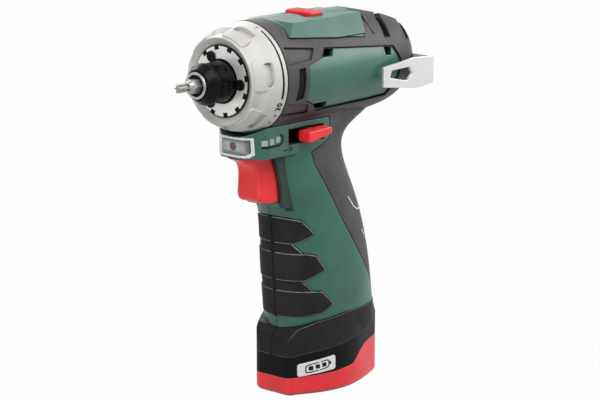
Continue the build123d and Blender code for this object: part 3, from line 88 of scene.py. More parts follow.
def stacked(across: Value, back: Value, high: Value) -> Array:
    """Points from their x, y and z, each of which is an array or one number for all."""
    return np.stack(np.broadcast_arrays(across, back, high), axis=-1)


def placed(points: Array) -> Array:
    """Points moved from millimetres about the spindle axis to metres in the model's frame."""
    return (points + AXIS) * MM


def measured(node: str) -> list[Array]:
    """Lowest and highest corner of a solid, in millimetres about the spindle axis."""
    return [np.array(corner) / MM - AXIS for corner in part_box(node)]


class Body(Enum):
    """Bodies that the added pieces ride on."""

    HOUSING = "housing"
    COLLAR = "collar"
    BATTERY = "battery"


class Slot(Enum):
    """Material slots of the record, one named for each added piece."""

    BLACK = "black_plastic"
    LABEL = "label"
    CLEAR = "lamp_clear"
    FRAME = "lamp_frame"
    WINDOW = "gauge_window"
    SPRING = "spring_steel"


class Signal:
    """A number that varies over a surface, held as the socket that gives it."""

    def __init__(self, shader: "Shader", socket: Socket) -> None:
        """Keep the shader that the socket belongs to, so that expressions can add nodes to it."""
        self.shader = shader
        self.socket = socket

    def _math(self, operation: str, *values: Value) -> "Signal":
        """Result of one Math node, whose inputs are signals or numbers in order."""
        made = self.shader.node("ShaderNodeMath", {"operation": operation}, dict(enumerate(values)))
        return Signal(self.shader, made.outputs[0])

    def __add__(self, other: Value) -> "Signal":
        """Sum."""
        return self._math("ADD", self, other)

    __radd__ = __add__

    def __sub__(self, other: Value) -> "Signal":
        """Difference."""
        return self._math("SUBTRACT", self, other)

    def __rsub__(self, other: Value) -> "Signal":
        """Difference from a number on the left."""
        return self._math("SUBTRACT", other, self)

    def __mul__(self, other: Value) -> "Signal":
        """Product."""
        return self._math("MULTIPLY", self, other)

    __rmul__ = __mul__

    def size(self) -> "Signal":
        """Absolute value."""
        return self._math("ABSOLUTE", self)

    def most(self, other: Value) -> "Signal":
        """The larger of two values."""
        return self._math("MAXIMUM", self, other)

    def rise(self, low: float, high: float) -> "Signal":
        """Climb smoothly from 0 at the low value to 1 at the high one.

        Args:
            low: Where the rise starts.
            high: Where it ends; below low, the rise runs the other way.

        Returns:
            A mask from 0 to 1.
        """
        settings = {"interpolation_type": "SMOOTHSTEP", "clamp": True}
        inputs = {"Value": self, "From Min": low, "From Max": high, "To Min": 0.0, "To Max": 1.0}
        return Signal(self.shader, self.shader.node("ShaderNodeMapRange", settings, inputs).outputs[0])


class Shader:
    """The nodes of a material or a world, made one by one with their settings and links."""

    probes: int = 6

    def __init__(self, owner: bpy.types.Material | bpy.types.World) -> None:
        """Start with no nodes.

        Args:
            owner: The material or world that the nodes belong to.
        """
        owner.use_nodes = True
        self.owner = owner
        self.tree = owner.node_tree
        self.tree.nodes.clear()

    @classmethod
    def named(cls, name: str) -> "Shader":
        """Start a new material."""
        return cls(bpy.data.materials.new(name))

    @cached_property
    def place(self) -> Socket:
        """Object coordinates, in metres."""
        return self.node("ShaderNodeTexCoord").outputs["Object"]

    def node(self, kind: str, settings: dict[str, Value] | None = None,
             inputs: dict[str | int, Value] | None = None) -> bpy.types.Node:
        """Add a node, set it up and fill its sockets.

        Args:
            kind: The node's type.
            settings: Properties of the node, set first.
            inputs: Sockets by name or number, with a value, a socket or a signal for each.

        Returns:
            The new node.
        """
        made = self.tree.nodes.new(kind)
        for key, value in (settings or {}).items():
            setattr(made, key, value)
        for key, value in (inputs or {}).items():
            source = value.socket if isinstance(value, Signal) else value
            if isinstance(source, Socket):
                self.tree.links.new(source, made.inputs[key])
            else:
                made.inputs[key].default_value = source
        return made

    def stretched(self, scale: Triple) -> Socket:
        """Object coordinates scaled along each axis."""
        return self.node("ShaderNodeMapping", None, {"Vector": self.place, "Scale": scale}).outputs[0]

    def noise(self, scale: float, detail: float = 2.0, coords: Socket | None = None) -> Signal:
        """Soft random values about 0.5, with so many bumps to a metre and so many finer layers."""
        inputs = {"Vector": coords or self.place, "Scale": scale, "Detail": detail}
        return Signal(self, self.node("ShaderNodeTexNoise", None, inputs).outputs["Fac"])

    def cells(self, scale: float) -> Signal:
        """Distance to the nearest of scattered points, of which a metre holds as many as the scale."""
        inputs = {"Vector": self.place, "Scale": scale}
        return Signal(self, self.node("ShaderNodeTexVoronoi", None, inputs).outputs["Distance"])

    def axis(self, name: str) -> Signal:
        """One object coordinate, in metres."""
        return Signal(self, self.node("ShaderNodeSeparateXYZ", None, {0: self.place}).outputs[name])

    def blend(self, mask: Value, first: Value, second: Value) -> Socket:
        """Mix of two colours, where the mask is the share of the second."""
        settings = {"data_type": "RGBA", "clamp_factor": True}
        return self.node("ShaderNodeMix", settings, {0: mask, 6: first, 7: second}).outputs[2]

    def rounded(self, radius: float) -> Socket:
        """Normal of edges rounded by a small radius, in metres."""
        return self.node("ShaderNodeBevel", {"samples": self.probes}, {"Radius": radius}).outputs[0]

    def edge(self, rounded: Socket) -> Signal:
        """How far the rounded normal leans from the face: 0 on a flat, about 0.3 on a square edge.

        Args:
            rounded: The rounded normal.

        Returns:
            The lean.
        """
        flat = self.node("ShaderNodeNewGeometry").outputs["Normal"]
        dot = self.node("ShaderNodeVectorMath", {"operation": "DOT_PRODUCT"}, {0: rounded, 1: flat})
        return 1.0 - Signal(self, dot.outputs["Value"])

    def shaded_in_creases(self, colour: Socket, reach: float, band: Pair, dark: float) -> Socket:
        """Paint shade into a colour in gaps, where other faces are near.

        Args:
            colour: The colour on a free face.
            reach: How far off another face counts, in metres.
            band: How open a spot is where the dark starts and where it is full, from 0 to 1.
            dark: The dark's share where it is full.

        Returns:
            The darkened colour.
        """
        made = self.node("ShaderNodeAmbientOcclusion", {"samples": self.probes}, {"Distance": reach})
        deep = Signal(self, made.outputs["AO"]).rise(*band) * dark
        return self.blend(deep, colour, DARK)

    def seen(self) -> Signal:
        """Tell the rays that see the white of the studio from the rest.

        Returns:
            One for rays from the camera, from gloss and through clear pieces, and zero for all others.
        """
        rays = self.node("ShaderNodeLightPath").outputs
        direct = Signal(self, rays["Is Camera Ray"]).most(Signal(self, rays["Is Glossy Ray"]))
        return direct.most(Signal(self, rays["Is Transmission Ray"]))

    def bump(self, height: Signal, depth: float, normal: Socket | None = None) -> Socket:
        """Normal of a fine relief.

        Args:
            height: Relief from 0 to 1.
            depth: Full height in metres.
            normal: Normal that the relief stands on.

        Returns:
            The new normal.
        """
        inputs = {"Height": height, "Distance": depth, "Strength": 1.0}
        if normal is not None:
            inputs["Normal"] = normal
        return self.node("ShaderNodeBump", None, inputs).outputs[0]

    def mix(self, share: Signal, first: bpy.types.Node, second: bpy.types.Node) -> Socket:
        """Mix of two shaders, by the share of the second."""
        inputs = {0: share, 1: first.outputs[0], 2: second.outputs[0]}
        return self.node("ShaderNodeMixShader", None, inputs).outputs[0]

    def close(self, surface: dict[str | int, Value]) -> bpy.types.Material:
        """End the material in a principled surface.

        Args:
            surface: Sockets of the principled shader.

        Returns:
            The finished material.
        """
        body = self.node("ShaderNodeBsdfPrincipled", None, surface)
        self.node("ShaderNodeOutputMaterial", None, {"Surface": body.outputs[0]})
        return self.owner


WHITE: Colour = (1.0, 1.0, 1.0, 1.0)
# Near black for painted shade in creases and hollows, and for the mould seam
DARK: Colour = (0.0025, 0.0025, 0.0025, 1.0)
# Colour of painted glints on moulded grain
GLINT: Colour = (0.35, 0.35, 0.35, 1.0)
FLAKE: Colour = (0.95, 0.95, 0.95, 1.0)
# Colour of lighter metal edges, partly polish and partly a painted highlight
POLISH_AND_HIGHLIGHT: Colour = (0.9, 0.9, 0.9, 1.0)
HAZE: Colour = (0.75, 0.78, 0.8, 1.0)


class Finish(Protocol):
    """What every finish has: a name and a way to build its material."""

    name: str

    def material(self) -> bpy.types.Material:
        """Build the finish."""


@cache
def paint(finish: Finish) -> bpy.types.Material:
    """Material of a finish, built when first asked for."""
    return finish.material()


@dataclass(frozen=True)
class Hollow:
    """A place that light hardly reaches, in millimetres: a box in side view between two half widths.

    It may also end at a radius about the spindle axis.
    """

    back: Pair
    high: Pair
    start: float = -1.0
    half: float = 60.0
    radius: float = 200.0
    dark: float = 0.95
    soft: float = 0.2
    soft_radius: float = 0.985

    def mask(self, make: Shader) -> Signal:
        """Mark the place.

        The mask is the product of soft steps at the box's sides, at the half width and at the square of the
        distance from the spindle axis, all in metres.

        Args:
            make: The nodes to add it to.

        Returns:
            One inside and zero outside.
        """
        soft = self.soft * MM
        across = make.axis("X")
        mask = across.size().rise(self.half * MM, self.half * MM - soft)
        mask = mask * across.size().rise(self.start * MM - soft, self.start * MM)
        for axis, limits, start in (("Y", self.back, AXIS[1]), ("Z", self.high, AXIS[2])):
            low, high = ((limit + start) * MM for limit in limits)
            mask = mask * make.axis(axis).rise(low, low + soft) * make.axis(axis).rise(high, high - soft)
        level = make.axis("Z") - AXIS[2] * MM
        limit = (self.radius * MM) ** 2
        return mask * (across * across + level * level).rise(limit, limit * self.soft_radius)


@dataclass(frozen=True)
class MouldedPlastic:
    """Moulded plastic or rubber: fine grain, broad changes of tone, a seam, and painted light and shade.

    The painted light is a highlight along edges (on the soft cover a shade instead), glints, and shade in
    creases and in hollows. Grain, broad, edge_lighting_patches and spark are counts per metre. Depth, edge,
    seam and crease are lengths in metres.
    """

    name: str
    colour: Colour
    shade: Colour
    edge_lighting: Colour
    roughness: float = 0.5
    gloss: float = 0.4
    grain: float = 2600.0
    grain_depth: float = 0.00003
    edge: float = 0.0006
    edge_lighting_share: float = 0.6
    seam: float = 0.0
    sparkle: float = 0.0
    crease: float = 0.002
    hollows: tuple[Hollow, ...] = ()
    broad: float = 55.0
    broad_band: Pair = (0.3, 0.7)
    broad_rough: float = 0.16
    grain_rough: float = 0.12
    edge_lighting_patches: float = 420.0
    spark: float = 1500.0
    edge_band: Pair = (0.02, 0.22)
    edge_lighting_patch_band: Pair = (0.15, 0.45)
    spark_band: Pair = (0.16, 0.04)
    crease_band: Pair = (0.94, 0.55)
    crease_shade: float = 0.92
    seam_core: float = 0.6
    seam_margin: Pair = (2.0, 4.0)
    seam_dark: float = 0.9

    def material(self) -> bpy.types.Material:
        """Build the finish.

        Returns:
            The material.
        """
        make = Shader.named(self.name)
        grain = make.noise(self.grain, 3.0)
        broad = make.noise(self.broad, 3.0)
        rounded = make.rounded(self.edge)
        # Patchy mask of painted light along edges
        edge_lighting_patches = make.edge(rounded).rise(*self.edge_band) * make.noise(self.edge_lighting_patches).rise(*self.edge_lighting_patch_band) * self.edge_lighting_share
        colour = make.blend(broad.rise(*self.broad_band), self.colour, self.shade)
        # Painted glints
        if self.sparkle:
            colour = make.blend(make.cells(self.spark).rise(*self.spark_band) * self.sparkle, colour, GLINT)
        if self.seam:
            side = make.axis("X").size()
            edge_lighting_patches = edge_lighting_patches * side.rise(*(self.seam * share for share in self.seam_margin))
            parting = side.rise(self.seam, self.seam * self.seam_core)
            colour = make.blend(parting * self.seam_dark, colour, DARK)
        # Paint the edge light: a highlight, and on the soft cover a shade
        colour = make.blend(edge_lighting_patches, colour, self.edge_lighting)
        # Painted shade in creases
        colour = make.shaded_in_creases(colour, self.crease, self.crease_band, self.crease_shade)
        rough = self.roughness + (broad - 0.5) * self.broad_rough + (grain - 0.5) * self.grain_rough
        # Painted shade in hollows that light hardly reaches
        for hollow in self.hollows:
            unlit = hollow.mask(make) * hollow.dark
            colour = make.blend(unlit, colour, DARK)
            rough = rough.most(unlit)
        return make.close({
            "Base Color": colour, "Roughness": rough, "Specular IOR Level": self.gloss,
            "Normal": make.bump(grain, self.grain_depth, rounded),
        })


@dataclass(frozen=True)
class WorkedMetal:
    """Bare, plated or painted metal: brushed or turned grain, faint stains, lighter edges and painted shade
    in creases.

    The edges are lighter partly from polish and partly as a painted highlight. Lines, spots and flake_scale
    are counts per metre. Depth, edge and crease are lengths in metres.
    """

    name: str
    colour: Colour
    stain: Colour
    roughness: float = 0.3
    metallic: float = 1.0
    lines: Triple = (900.0, 900.0, 900.0)
    line_depth: float = 0.000012
    edge: float = 0.0004
    flakes: float = 0.0
    bright: float = 0.5
    gloss: float = 0.5
    crease: float = 0.0014
    line_rough: float = 0.2
    spots: float = 130.0
    spot_share: float = 0.6
    spot_rough: float = 0.14
    flake_scale: float = 2600.0
    edge_band: Pair = (0.02, 0.2)
    spot_band: Pair = (0.45, 0.8)
    flake_band: Pair = (0.2, 0.05)
    crease_band: Pair = (0.65, 0.2)
    crease_shade: float = 0.95

    def material(self) -> bpy.types.Material:
        """Build the finish.

        Returns:
            The material.
        """
        make = Shader.named(self.name)
        lines = make.noise(1.0, 3.0, make.stretched(self.lines))
        stains = make.noise(self.spots, 4.0)
        rounded = make.rounded(self.edge)
        # Lighter edges: partly polish, partly a painted highlight
        bright = make.edge(rounded).rise(*self.edge_band) * self.bright
        colour = make.blend(stains.rise(*self.spot_band) * self.spot_share, self.colour, self.stain)
        colour = make.blend(bright, colour, POLISH_AND_HIGHLIGHT)
        if self.flakes:
            flake = make.cells(self.flake_scale).rise(*self.flake_band) * self.flakes
            colour = make.blend(flake, colour, FLAKE)
        # Painted shade in creases
        colour = make.shaded_in_creases(colour, self.crease, self.crease_band, self.crease_shade)
        rough = self.roughness + (lines - 0.5) * self.line_rough + (stains - 0.5) * self.spot_rough
        return make.close({
            "Base Color": colour, "Roughness": rough, "Metallic": self.metallic,
            "Specular IOR Level": self.gloss, "Normal": make.bump(lines, self.line_depth, rounded),
        })


@dataclass(frozen=True)
class ClearPlastic:
    """Clear or milky moulded plastic; the haze is a count per metre, depth and edge are metres."""

    name: str
    colour: Colour
    roughness: float = 0.08
    passing: float = 1.0
    bending: float = 1.46
    haze: float = 300.0
    haze_depth: float = 0.00002
    haze_band: Pair = (0.4, 0.8)
    haze_share: float = 0.3
    haze_rough: float = 0.05
    edge: float = 0.0003

    def material(self) -> bpy.types.Material:
        """Build the finish.

        Returns:
            The material.
        """
        make = Shader.named(self.name)
        haze = make.noise(self.haze)
        return make.close({
            "Base Color": make.blend(haze.rise(*self.haze_band) * self.haze_share, self.colour, HAZE),
            "Roughness": self.roughness + haze * self.haze_rough,
            "Transmission Weight": self.passing, "IOR": self.bending,
            "Normal": make.bump(haze, self.haze_depth, make.rounded(self.edge)),
        })


@dataclass(frozen=True)
class PrintAndPaintedHighlight:
    """Screen-printed ink with slightly uneven cover, whose grain is a count per metre; the same finish paints
    pale highlight strokes.
    """

    name: str
    colour: Colour
    thin: Colour
    grain: float = 2400.0
    grain_depth: float = 0.00001
    grain_rough: float = 0.2
    thin_band: Pair = (0.5, 0.75)
    thin_share: float = 0.5
    roughness: float = 0.42
    gloss: float = 0.15

    def material(self) -> bpy.types.Material:
        """Build the finish.

        Returns:
            The material.
        """
        make = Shader.named(self.name)
        cover = make.noise(self.grain, 3.0)
        return make.close({
            "Base Color": make.blend(cover.rise(*self.thin_band) * self.thin_share, self.colour, self.thin),
            "Roughness": self.roughness + cover * self.grain_rough, "Specular IOR Level": self.gloss,
            "Normal": make.bump(cover, self.grain_depth),
        })


# Half width of the dark line where the left and right mouldings meet, in metres
SEAM = 0.00045

# Places painted in shade, where light hardly reaches, used by the finishes below
BARREL_INSIDE = Hollow((1.0, 82.0), (-24.0, 24.0), radius=24.4)
BUTTON_SLOT = Hollow((11.8, 37.6), (-33.6, -25.2), half=15.1)
BUTTON_INSIDE = Hollow((11.0, 37.6), (-34.0, -25.0), half=15.7)
TRIGGER_WELL = Hollow((-4.0, 26.0), (-62.2, -37.7), half=10.2)
TRIGGER_LEDGE = Hollow((-4.0, 20.0), (-67.0, -37.7), start=9.0, half=12.5, dark=0.75)
COVER_PANEL = Hollow((7.0, 13.5), (-10.2, 5.7), radius=26.2)

# The third colour of each moulding is painted along its edges: a highlight, and on the soft cover a shade
GREEN = MouldedPlastic(
    "green_moulding", tint(38, 92, 78), tint(31, 80, 68), tint(120, 160, 150), 0.36, 0.48, seam=SEAM,
    edge_lighting_share=0.45, hollows=(BARREL_INSIDE, BUTTON_SLOT, TRIGGER_WELL, TRIGGER_LEDGE))
# Its edges are painted dark: the shade in the gap beside the green
COVER = MouldedPlastic(
    "grey_soft_cover", tint(70, 68, 69), tint(58, 56, 57), tint(9, 9, 9), 0.5, 0.2, 3200.0, 0.00009,
    edge=0.0008, edge_lighting_share=1.0, sparkle=0.4, seam=SEAM, hollows=(COVER_PANEL,))
PADS = MouldedPlastic(
    "black_finger_pads", tint(41, 41, 42), tint(30, 30, 31), tint(176, 176, 177), 0.6, 0.06, 3000.0, 0.00005,
    edge=0.0009, edge_lighting_share=1.0, sparkle=0.12, seam=SEAM)
FOOT = MouldedPlastic(
    "dark_foot", tint(36, 35, 36), tint(28, 27, 28), tint(150, 149, 150), 0.46, 0.08, 3000.0, 0.00005,
    edge_lighting_share=0.9, sparkle=0.15, seam=SEAM)
RED = MouldedPlastic(
    "red_moulding", tint(220, 41, 47), tint(208, 33, 40), tint(240, 126, 126), 0.4, 0.45, edge_lighting_share=0.45)
BUTTON = replace(RED, name="red_button", hollows=(BUTTON_INSIDE,))
BLACK = MouldedPlastic(
    "black_moulding", tint(15, 15, 16), tint(11, 11, 12), tint(80, 80, 81), 0.4, 0.08, edge_lighting_share=0.45)
WRAP = MouldedPlastic("cell_wrap", tint(52, 110, 168), tint(44, 96, 150), tint(150, 180, 210), 0.3, 0.5)
BOARD = MouldedPlastic(
    "lamp_board_lacquer", tint(44, 120, 70), tint(34, 100, 58), tint(150, 190, 160), 0.35, 0.5)
LABEL = MouldedPlastic(
    "pale_label", tint(214, 214, 214), tint(206, 206, 207), tint(230, 230, 230), 0.4, 0.3,
    grain_depth=0.00001)
EMITTER = MouldedPlastic(
    "lamp_emitter", tint(104, 24, 44), tint(52, 14, 24), tint(150, 110, 116), 0.25, 0.12, edge_lighting_share=0.3,
    crease=0.0001)
SILVER = WorkedMetal(
    "silver_collar", tint(184, 182, 178), tint(174, 172, 168), 0.46, 0.1, edge=0.0006, flakes=0.15,
    bright=0.3, gloss=0.2)
PLATED = WorkedMetal(
    "plated_sheet", tint(206, 206, 206), tint(194, 194, 194), 0.36, 0.5, (300.0, 90.0, 2600.0), 0.000004)
BIT = WorkedMetal(
    "hardened_bit", tint(150, 147, 144), tint(128, 126, 124), 0.44, 0.7, (500.0, 2200.0, 500.0), 0.000001,
    0.0002, bright=0.15)
TIP = WorkedMetal("plated_tip", tint(176, 176, 178), tint(140, 140, 143), 0.25, bright=0.2)
STEEL = WorkedMetal(
    "bright_steel", tint(205, 205, 206), tint(170, 170, 172), 0.25, lines=(500.0, 2200.0, 500.0))
NOTCHED = WorkedMetal("stamped_steel", tint(220, 219, 216), tint(200, 199, 197), 0.36, 0.6, edge=0.0002)
BLACKENED = WorkedMetal(
    "blackened_steel", tint(12, 12, 13), tint(8, 8, 9), 0.26, 0.0, (800.0, 2400.0, 800.0), 0.000003,
    bright=0.04, gloss=0.08)
SPRING = WorkedMetal("spring_wire", tint(170, 170, 172), tint(120, 120, 124))
CAST = WorkedMetal(
    "cast_case", tint(176, 177, 180), tint(140, 141, 145), 0.5, lines=(1400.0, 1400.0, 1400.0), crease=0.02)
BRONZE = WorkedMetal(
    "sintered_bronze", tint(176, 132, 74), tint(140, 98, 52), 0.45, lines=(1600.0, 1600.0, 1600.0))
COPPER = WorkedMetal(
    "copper_winding", tint(190, 104, 60), tint(150, 74, 40), 0.35, lines=(700.0, 2600.0, 700.0))
ZINC = WorkedMetal(
    "zinc_can", tint(168, 170, 172), tint(130, 132, 136), 0.36, lines=(900.0, 1500.0, 900.0), crease=0.02)
MAGNET = WorkedMetal("dark_magnet", tint(62, 62, 64), tint(44, 44, 46), 0.6, 0.4, (1800.0, 1800.0, 1800.0))
TINNED = WorkedMetal(
    "tinned_contact", tint(214, 196, 150), tint(176, 156, 110), 0.28, lines=(700.0, 700.0, 2200.0))
BEZEL = WorkedMetal("bright_lamp_frame", tint(206, 206, 204), tint(188, 188, 188), 0.24, 0.5)
MIRROR = WorkedMetal("lamp_mirror", tint(238, 238, 236), tint(226, 226, 226), 0.3, 0.35)
CLEAR = ClearPlastic("clear_lens", tint(240, 243, 245))
GAUGE = ClearPlastic("milky_gauge", tint(146, 151, 148), 0.4, 0.05)
INK = PrintAndPaintedHighlight("black_ink", tint(14, 14, 15), tint(36, 36, 37))
# Pale strokes of painted highlight on the rear grip
PALE = PrintAndPaintedHighlight("painted_highlight_strokes", tint(226, 226, 226), tint(190, 190, 190))

DRESS: dict[Finish, tuple[str, ...]] = {
    GREEN: ("housing_left", "housing_right"),
    COVER: ("cover_left", "cover_right"),
    PADS: ("finger_pads_left", "finger_pads_right"),
    FOOT: ("foot_left", "foot_right"),
    BUTTON: ("direction_button",),
    RED: ("trigger", "gear_selector", "battery_base", "battery_latch"),
    BLACK: ("battery_case", "lock_ring", "switch_body", "terminal_block", "motor_end_cap", "motor_fan"),
    SILVER: ("torque_collar",),
    PLATED: ("belt_hook",),
    NOTCHED: ("front_plate",),
    BIT: ("bit",),
    TIP: ("tip_ring",),
    STEEL: ("clutch_balls", "clutch_plate", "clutch_ring", "shift_ring", "carrier", "clutch_nut",
            *(f"planet_{stage}{place}" for stage in "12" for place in "abc"), "motor_pinion", "motor_shaft"),
    BLACKENED: ("spindle", "plate_screws", "housing_screws"),
    SPRING: ("clutch_spring", "trigger_spring"),
    CAST: ("gear_case",),
    BRONZE: ("spindle_bush", "motor_bushes"),
    COPPER: ("motor_windings", "motor_commutator"),
    ZINC: ("motor_can", "motor_core"),
    MAGNET: ("motor_magnets", "motor_brushes"),
    TINNED: ("terminal_blades", "battery_contacts"),
    WRAP: ("battery_cells",),
    BOARD: ("lamp_board",),
    LABEL: ("battery_label",),
    BEZEL: ("lamp_bezel",),
    CLEAR: ("lamp_lens",),
    GAUGE: ("charge_windows",),
}


def dress_solids() -> None:
    """Give each solid of the frame its finish."""
    for finish, nodes in DRESS.items():
        for node in nodes:
            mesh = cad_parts[node].data
            mesh.materials.clear()
            mesh.materials.append(paint(finish))
            LOG.info("dressed %s in %s", node, finish.name)


def circle(count: int) -> Array:
    """Angles evenly round a circle, in radians."""
    return np.linspace(0, 2 * np.pi, count, endpoint=False)


def patch(rows: int, columns: int) -> list[Array]:
    """Two parameters from -1 to 1, one along the rows of a grid and one along its columns."""
    return np.meshgrid(np.linspace(-1, 1, rows), np.linspace(-1, 1, columns), indexing="ij")


def between(limits: Pair, share: Array) -> Array:
    """Places between two limits, for shares from -1 at the first to 1 at the second."""
    return (limits[0] + limits[1]) / 2 + share * (limits[1] - limits[0]) / 2


def linked(name: str, data: bpy.types.ID) -> bpy.types.Object:
    """Put a new object into the scene.

    Args:
        name: The object's name.
        data: Its mesh, lamp or camera.

    Returns:
        The object.
    """
    made = bpy.data.objects.new(name, data)
    bpy.context.scene.collection.objects.link(made)
    return made


@dataclass
class Shape:
    """Points and faces gathered from several closed surfaces, in millimetres about the spindle axis."""

    points: list[Array] = field(default_factory=list)
    faces: list[list[int]] = field(default_factory=list)
    count: int = 0

    def tube(self, grid: Array, loop: bool = False) -> None:
        """Add a profile carried along a path: rows are places on the path, columns go round the profile.

        Args:
            grid: Points by row and column.
            loop: Whether the path closes on itself; open ends are capped.
        """
        rows, columns = grid.shape[:2]
        row = np.arange(rows if loop else rows - 1)[:, None] * columns
        after = (row + columns) % (rows * columns)
        column = np.arange(columns)
        beside = np.roll(column, -1)
        quads = np.stack((row + column, row + beside, after + beside, after + column), axis=-1)
        self.faces += (quads.reshape(-1, 4) + self.count).tolist()
        if not loop:
            first = column + self.count
            self.faces += [first[::-1].tolist(), (first + (rows - 1) * columns).tolist()]
        self.points.append(grid.reshape(-1, 3))
        self.count += rows * columns

    def slab(self, front: Array, back: Array) -> None:
        """Add the space between two sheets of equal grids: a row runs over the front and back on the rear."""
        self.tube(np.concatenate((front, back[:, ::-1]), axis=1))

    def piece(self, name: str, finish: Finish, body: Body, slot: Slot) -> bpy.types.Object:
        """Make the object, turn its faces outward and let it ride on a body.

        Args:
            name: The piece's name.
            finish: Its finish.
            body: The body that it rides on.
            slot: The material slot named for it; not used.

        Returns:
            The new object.
        """
        mesh = bpy.data.meshes.new(name)
        mesh.from_pydata(placed(np.concatenate(self.points)).tolist(), [], self.faces)
        shell = bmesh.new()
        shell.from_mesh(mesh)
        bmesh.ops.recalc_face_normals(shell, faces=shell.faces)
        shell.to_mesh(mesh)
        shell.free()
        mesh.materials.append(paint(finish))
        made = linked(name, mesh)
        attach(made, body.value)
        LOG.info("built %s", name)
        return made


class Skin(Protocol):
    """A surface of the tool that flat marks are laid on."""

    def wrap(self, across: Array, along: Array, lift: Array) -> Array:
        """Turn flat places into points.

        Args:
            across: First flat coordinate; each surface says which way it runs.
            along: Second flat coordinate.
            lift: Height above the surface.

        Returns:
            Points in millimetres about the spindle axis.
        """


@dataclass(frozen=True)
class CollarSkin:
    """Rear band of the torque collar: a slim cone, whose radius shrinks evenly towards the nose.

    The angle is the distance across over the radius, from the left side towards the top.
    """

    radius: float = 26.5
    narrowing: float = 0.9 / 6.4

    def wrap(self, across: Array, along: Array, lift: Array) -> Array:
        """Wrap flat places round the cone: across goes round it, along is the y from its rear edge."""
        angle, away = across / self.radius, self.radius + self.narrowing * along + lift
        return stacked(away * np.cos(angle), along, away * np.sin(angle))


@dataclass(frozen=True)
class ChinSkin:
    """Outside of the chin: a flat front, slanted flats beside it and flat sides, with round corners."""

    half: float = 15.6
    front: float = -10.8
    facet: Pair = (9.0, 8.2)
    bend: float = 6.0
    longest: float = 60.0
    trials: int = 6001

    def plan(self, along: Array, inset: Value) -> tuple[Array, Array]:
        """Walk along the outside in plan from the middle of the front, the same on both sides.

        The path is straight, bends by the slant, is straight, bends on to the side and is straight again;
        each bend is an arc of one radius. The inset is measured square to the path.

        Args:
            along: Distance from the middle along the outside, negative to the right.
            inset: Depth below the outside.

        Returns:
            Places in plan, x and y.
        """
        lean = math.atan2(self.facet[1], self.facet[0])
        rest = math.pi / 2 - lean
        first = self.half - self.facet[0] - self.bend * math.tan(lean / 2)
        second = math.hypot(*self.facet) - self.bend * (math.tan(lean / 2) + math.tan(rest / 2))
        away = np.abs(along) - first
        turn = np.clip(away / self.bend, 0.0, lean)
        slant = np.clip(away - self.bend * lean, 0.0, second)
        turn_on = np.clip((away - self.bend * lean - second) / self.bend, 0.0, rest)
        side = np.maximum(away - self.bend * (lean + rest) - second, 0.0)
        across = first + np.minimum(away, 0.0) + self.bend * np.sin(turn) + slant * math.cos(lean)
        across = across + self.bend * (np.sin(lean + turn_on) - math.sin(lean))
        back = self.front + self.bend * (1 - np.cos(turn)) + slant * math.sin(lean) + side
        back = back + self.bend * (math.cos(lean) - np.cos(lean + turn_on))
        across = across - inset * np.sin(turn + turn_on)
        return np.sign(along) * across, back + inset * np.cos(turn + turn_on)

    def reach(self, back: Array) -> Array:
        """Distance along the outside at which the path gets to a y, read off trial places."""
        trial = np.linspace(0, self.longest, self.trials)
        return np.interp(back, self.plan(trial, 0.0)[1], trial)

    def sheet(self, along: Array, high: Array, inset: Value) -> Array:
        """Points at distances along the outside, heights and depths below the outside."""
        return stacked(*self.plan(along, inset), high)

    def wrap(self, across: Array, along: Array, lift: Array) -> Array:
        """Lay flat places on the left side: across is y and along is z."""
        return self.sheet(self.reach(across), along, -lift)


@dataclass(frozen=True)
class RoofSkin:
    """Top of the roof: a low ridge cut by a slope to the rear."""

    crown: float = 26.8
    fall: float = 1.8 / 14.0
    slope_from: Pair = (20.0, 26.9)
    slope: float = -2.3 / 60.0

    def wrap(self, across: Array, along: Array, lift: Array) -> Array:
        """Lay flat places on the roof: across is x, along is y and z is the lower of ridge and slope."""
        slope = self.slope_from[1] + self.slope * (along - self.slope_from[0])
        return stacked(across, along, np.minimum(self.crown - self.fall * np.abs(across), slope) + lift)


@dataclass(frozen=True)
class LabelSkin:
    """Outside of the label, bent with the battery's side by a cubic of the distance to the rear."""

    curve: tuple[float, ...]

    @classmethod
    def from_node(cls, name: str) -> "LabelSkin":
        """Fit the bend to a solid: a cubic through its outermost points, those outside a first fit.

        Args:
            name: The label's node.

        Returns:
            The skin.
        """
        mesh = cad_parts[name].data
        flat = np.empty(len(mesh.vertices) * 3)
        mesh.vertices.foreach_get("co", flat)
        spots = flat.reshape(-1, 3) / MM - AXIS
        rough = np.polyfit(spots[:, 1], spots[:, 0], 3)
        outer = spots[spots[:, 0] > np.polyval(rough, spots[:, 1])]
        return cls(tuple(np.polyfit(outer[:, 1], outer[:, 0], 3)))

    def wrap(self, across: Array, along: Array, lift: Array) -> Array:
        """Lay flat places on the label: across is y and along is the height above the base."""
        return stacked(np.polyval(self.curve, across) + lift, across, along - AXIS[2])


@dataclass(frozen=True)
class GripSkin:
    """Left side of the handle: soft ovals whose front, rear and half width are cubics of the height."""

    high: tuple[float, ...] = (-94.9, -84.0, -73.0, -62.0)
    front: tuple[float, ...] = (18.9, 18.5, 17.5, 13.5)
    rear: tuple[float, ...] = (78.8, 76.0, 72.6, 68.6)
    half: tuple[float, ...] = (21.0, 20.8, 20.2, 19.2)
    power: float = 2.3
    end: float = 0.99

    def wrap(self, across: Array, along: Array, lift: Array) -> Array:
        """Lay flat places on the side: across is y, along is z, and x follows from the oval.

        Args:
            across: Distance to the rear.
            along: Height.
            lift: Height above the side.

        Returns:
            Points.
        """
        front, rear, half = (np.polyval(np.polyfit(self.high, row, 3), along)
                             for row in (self.front, self.rear, self.half))
        middle, reach = (front + rear) / 2, (rear - front) / 2
        place = np.clip((across - middle) / reach, -self.end, self.end)
        out = half * (1 - np.abs(place) ** self.power) ** (1 / self.power) + lift
        return stacked(out, across + lift * place, along)


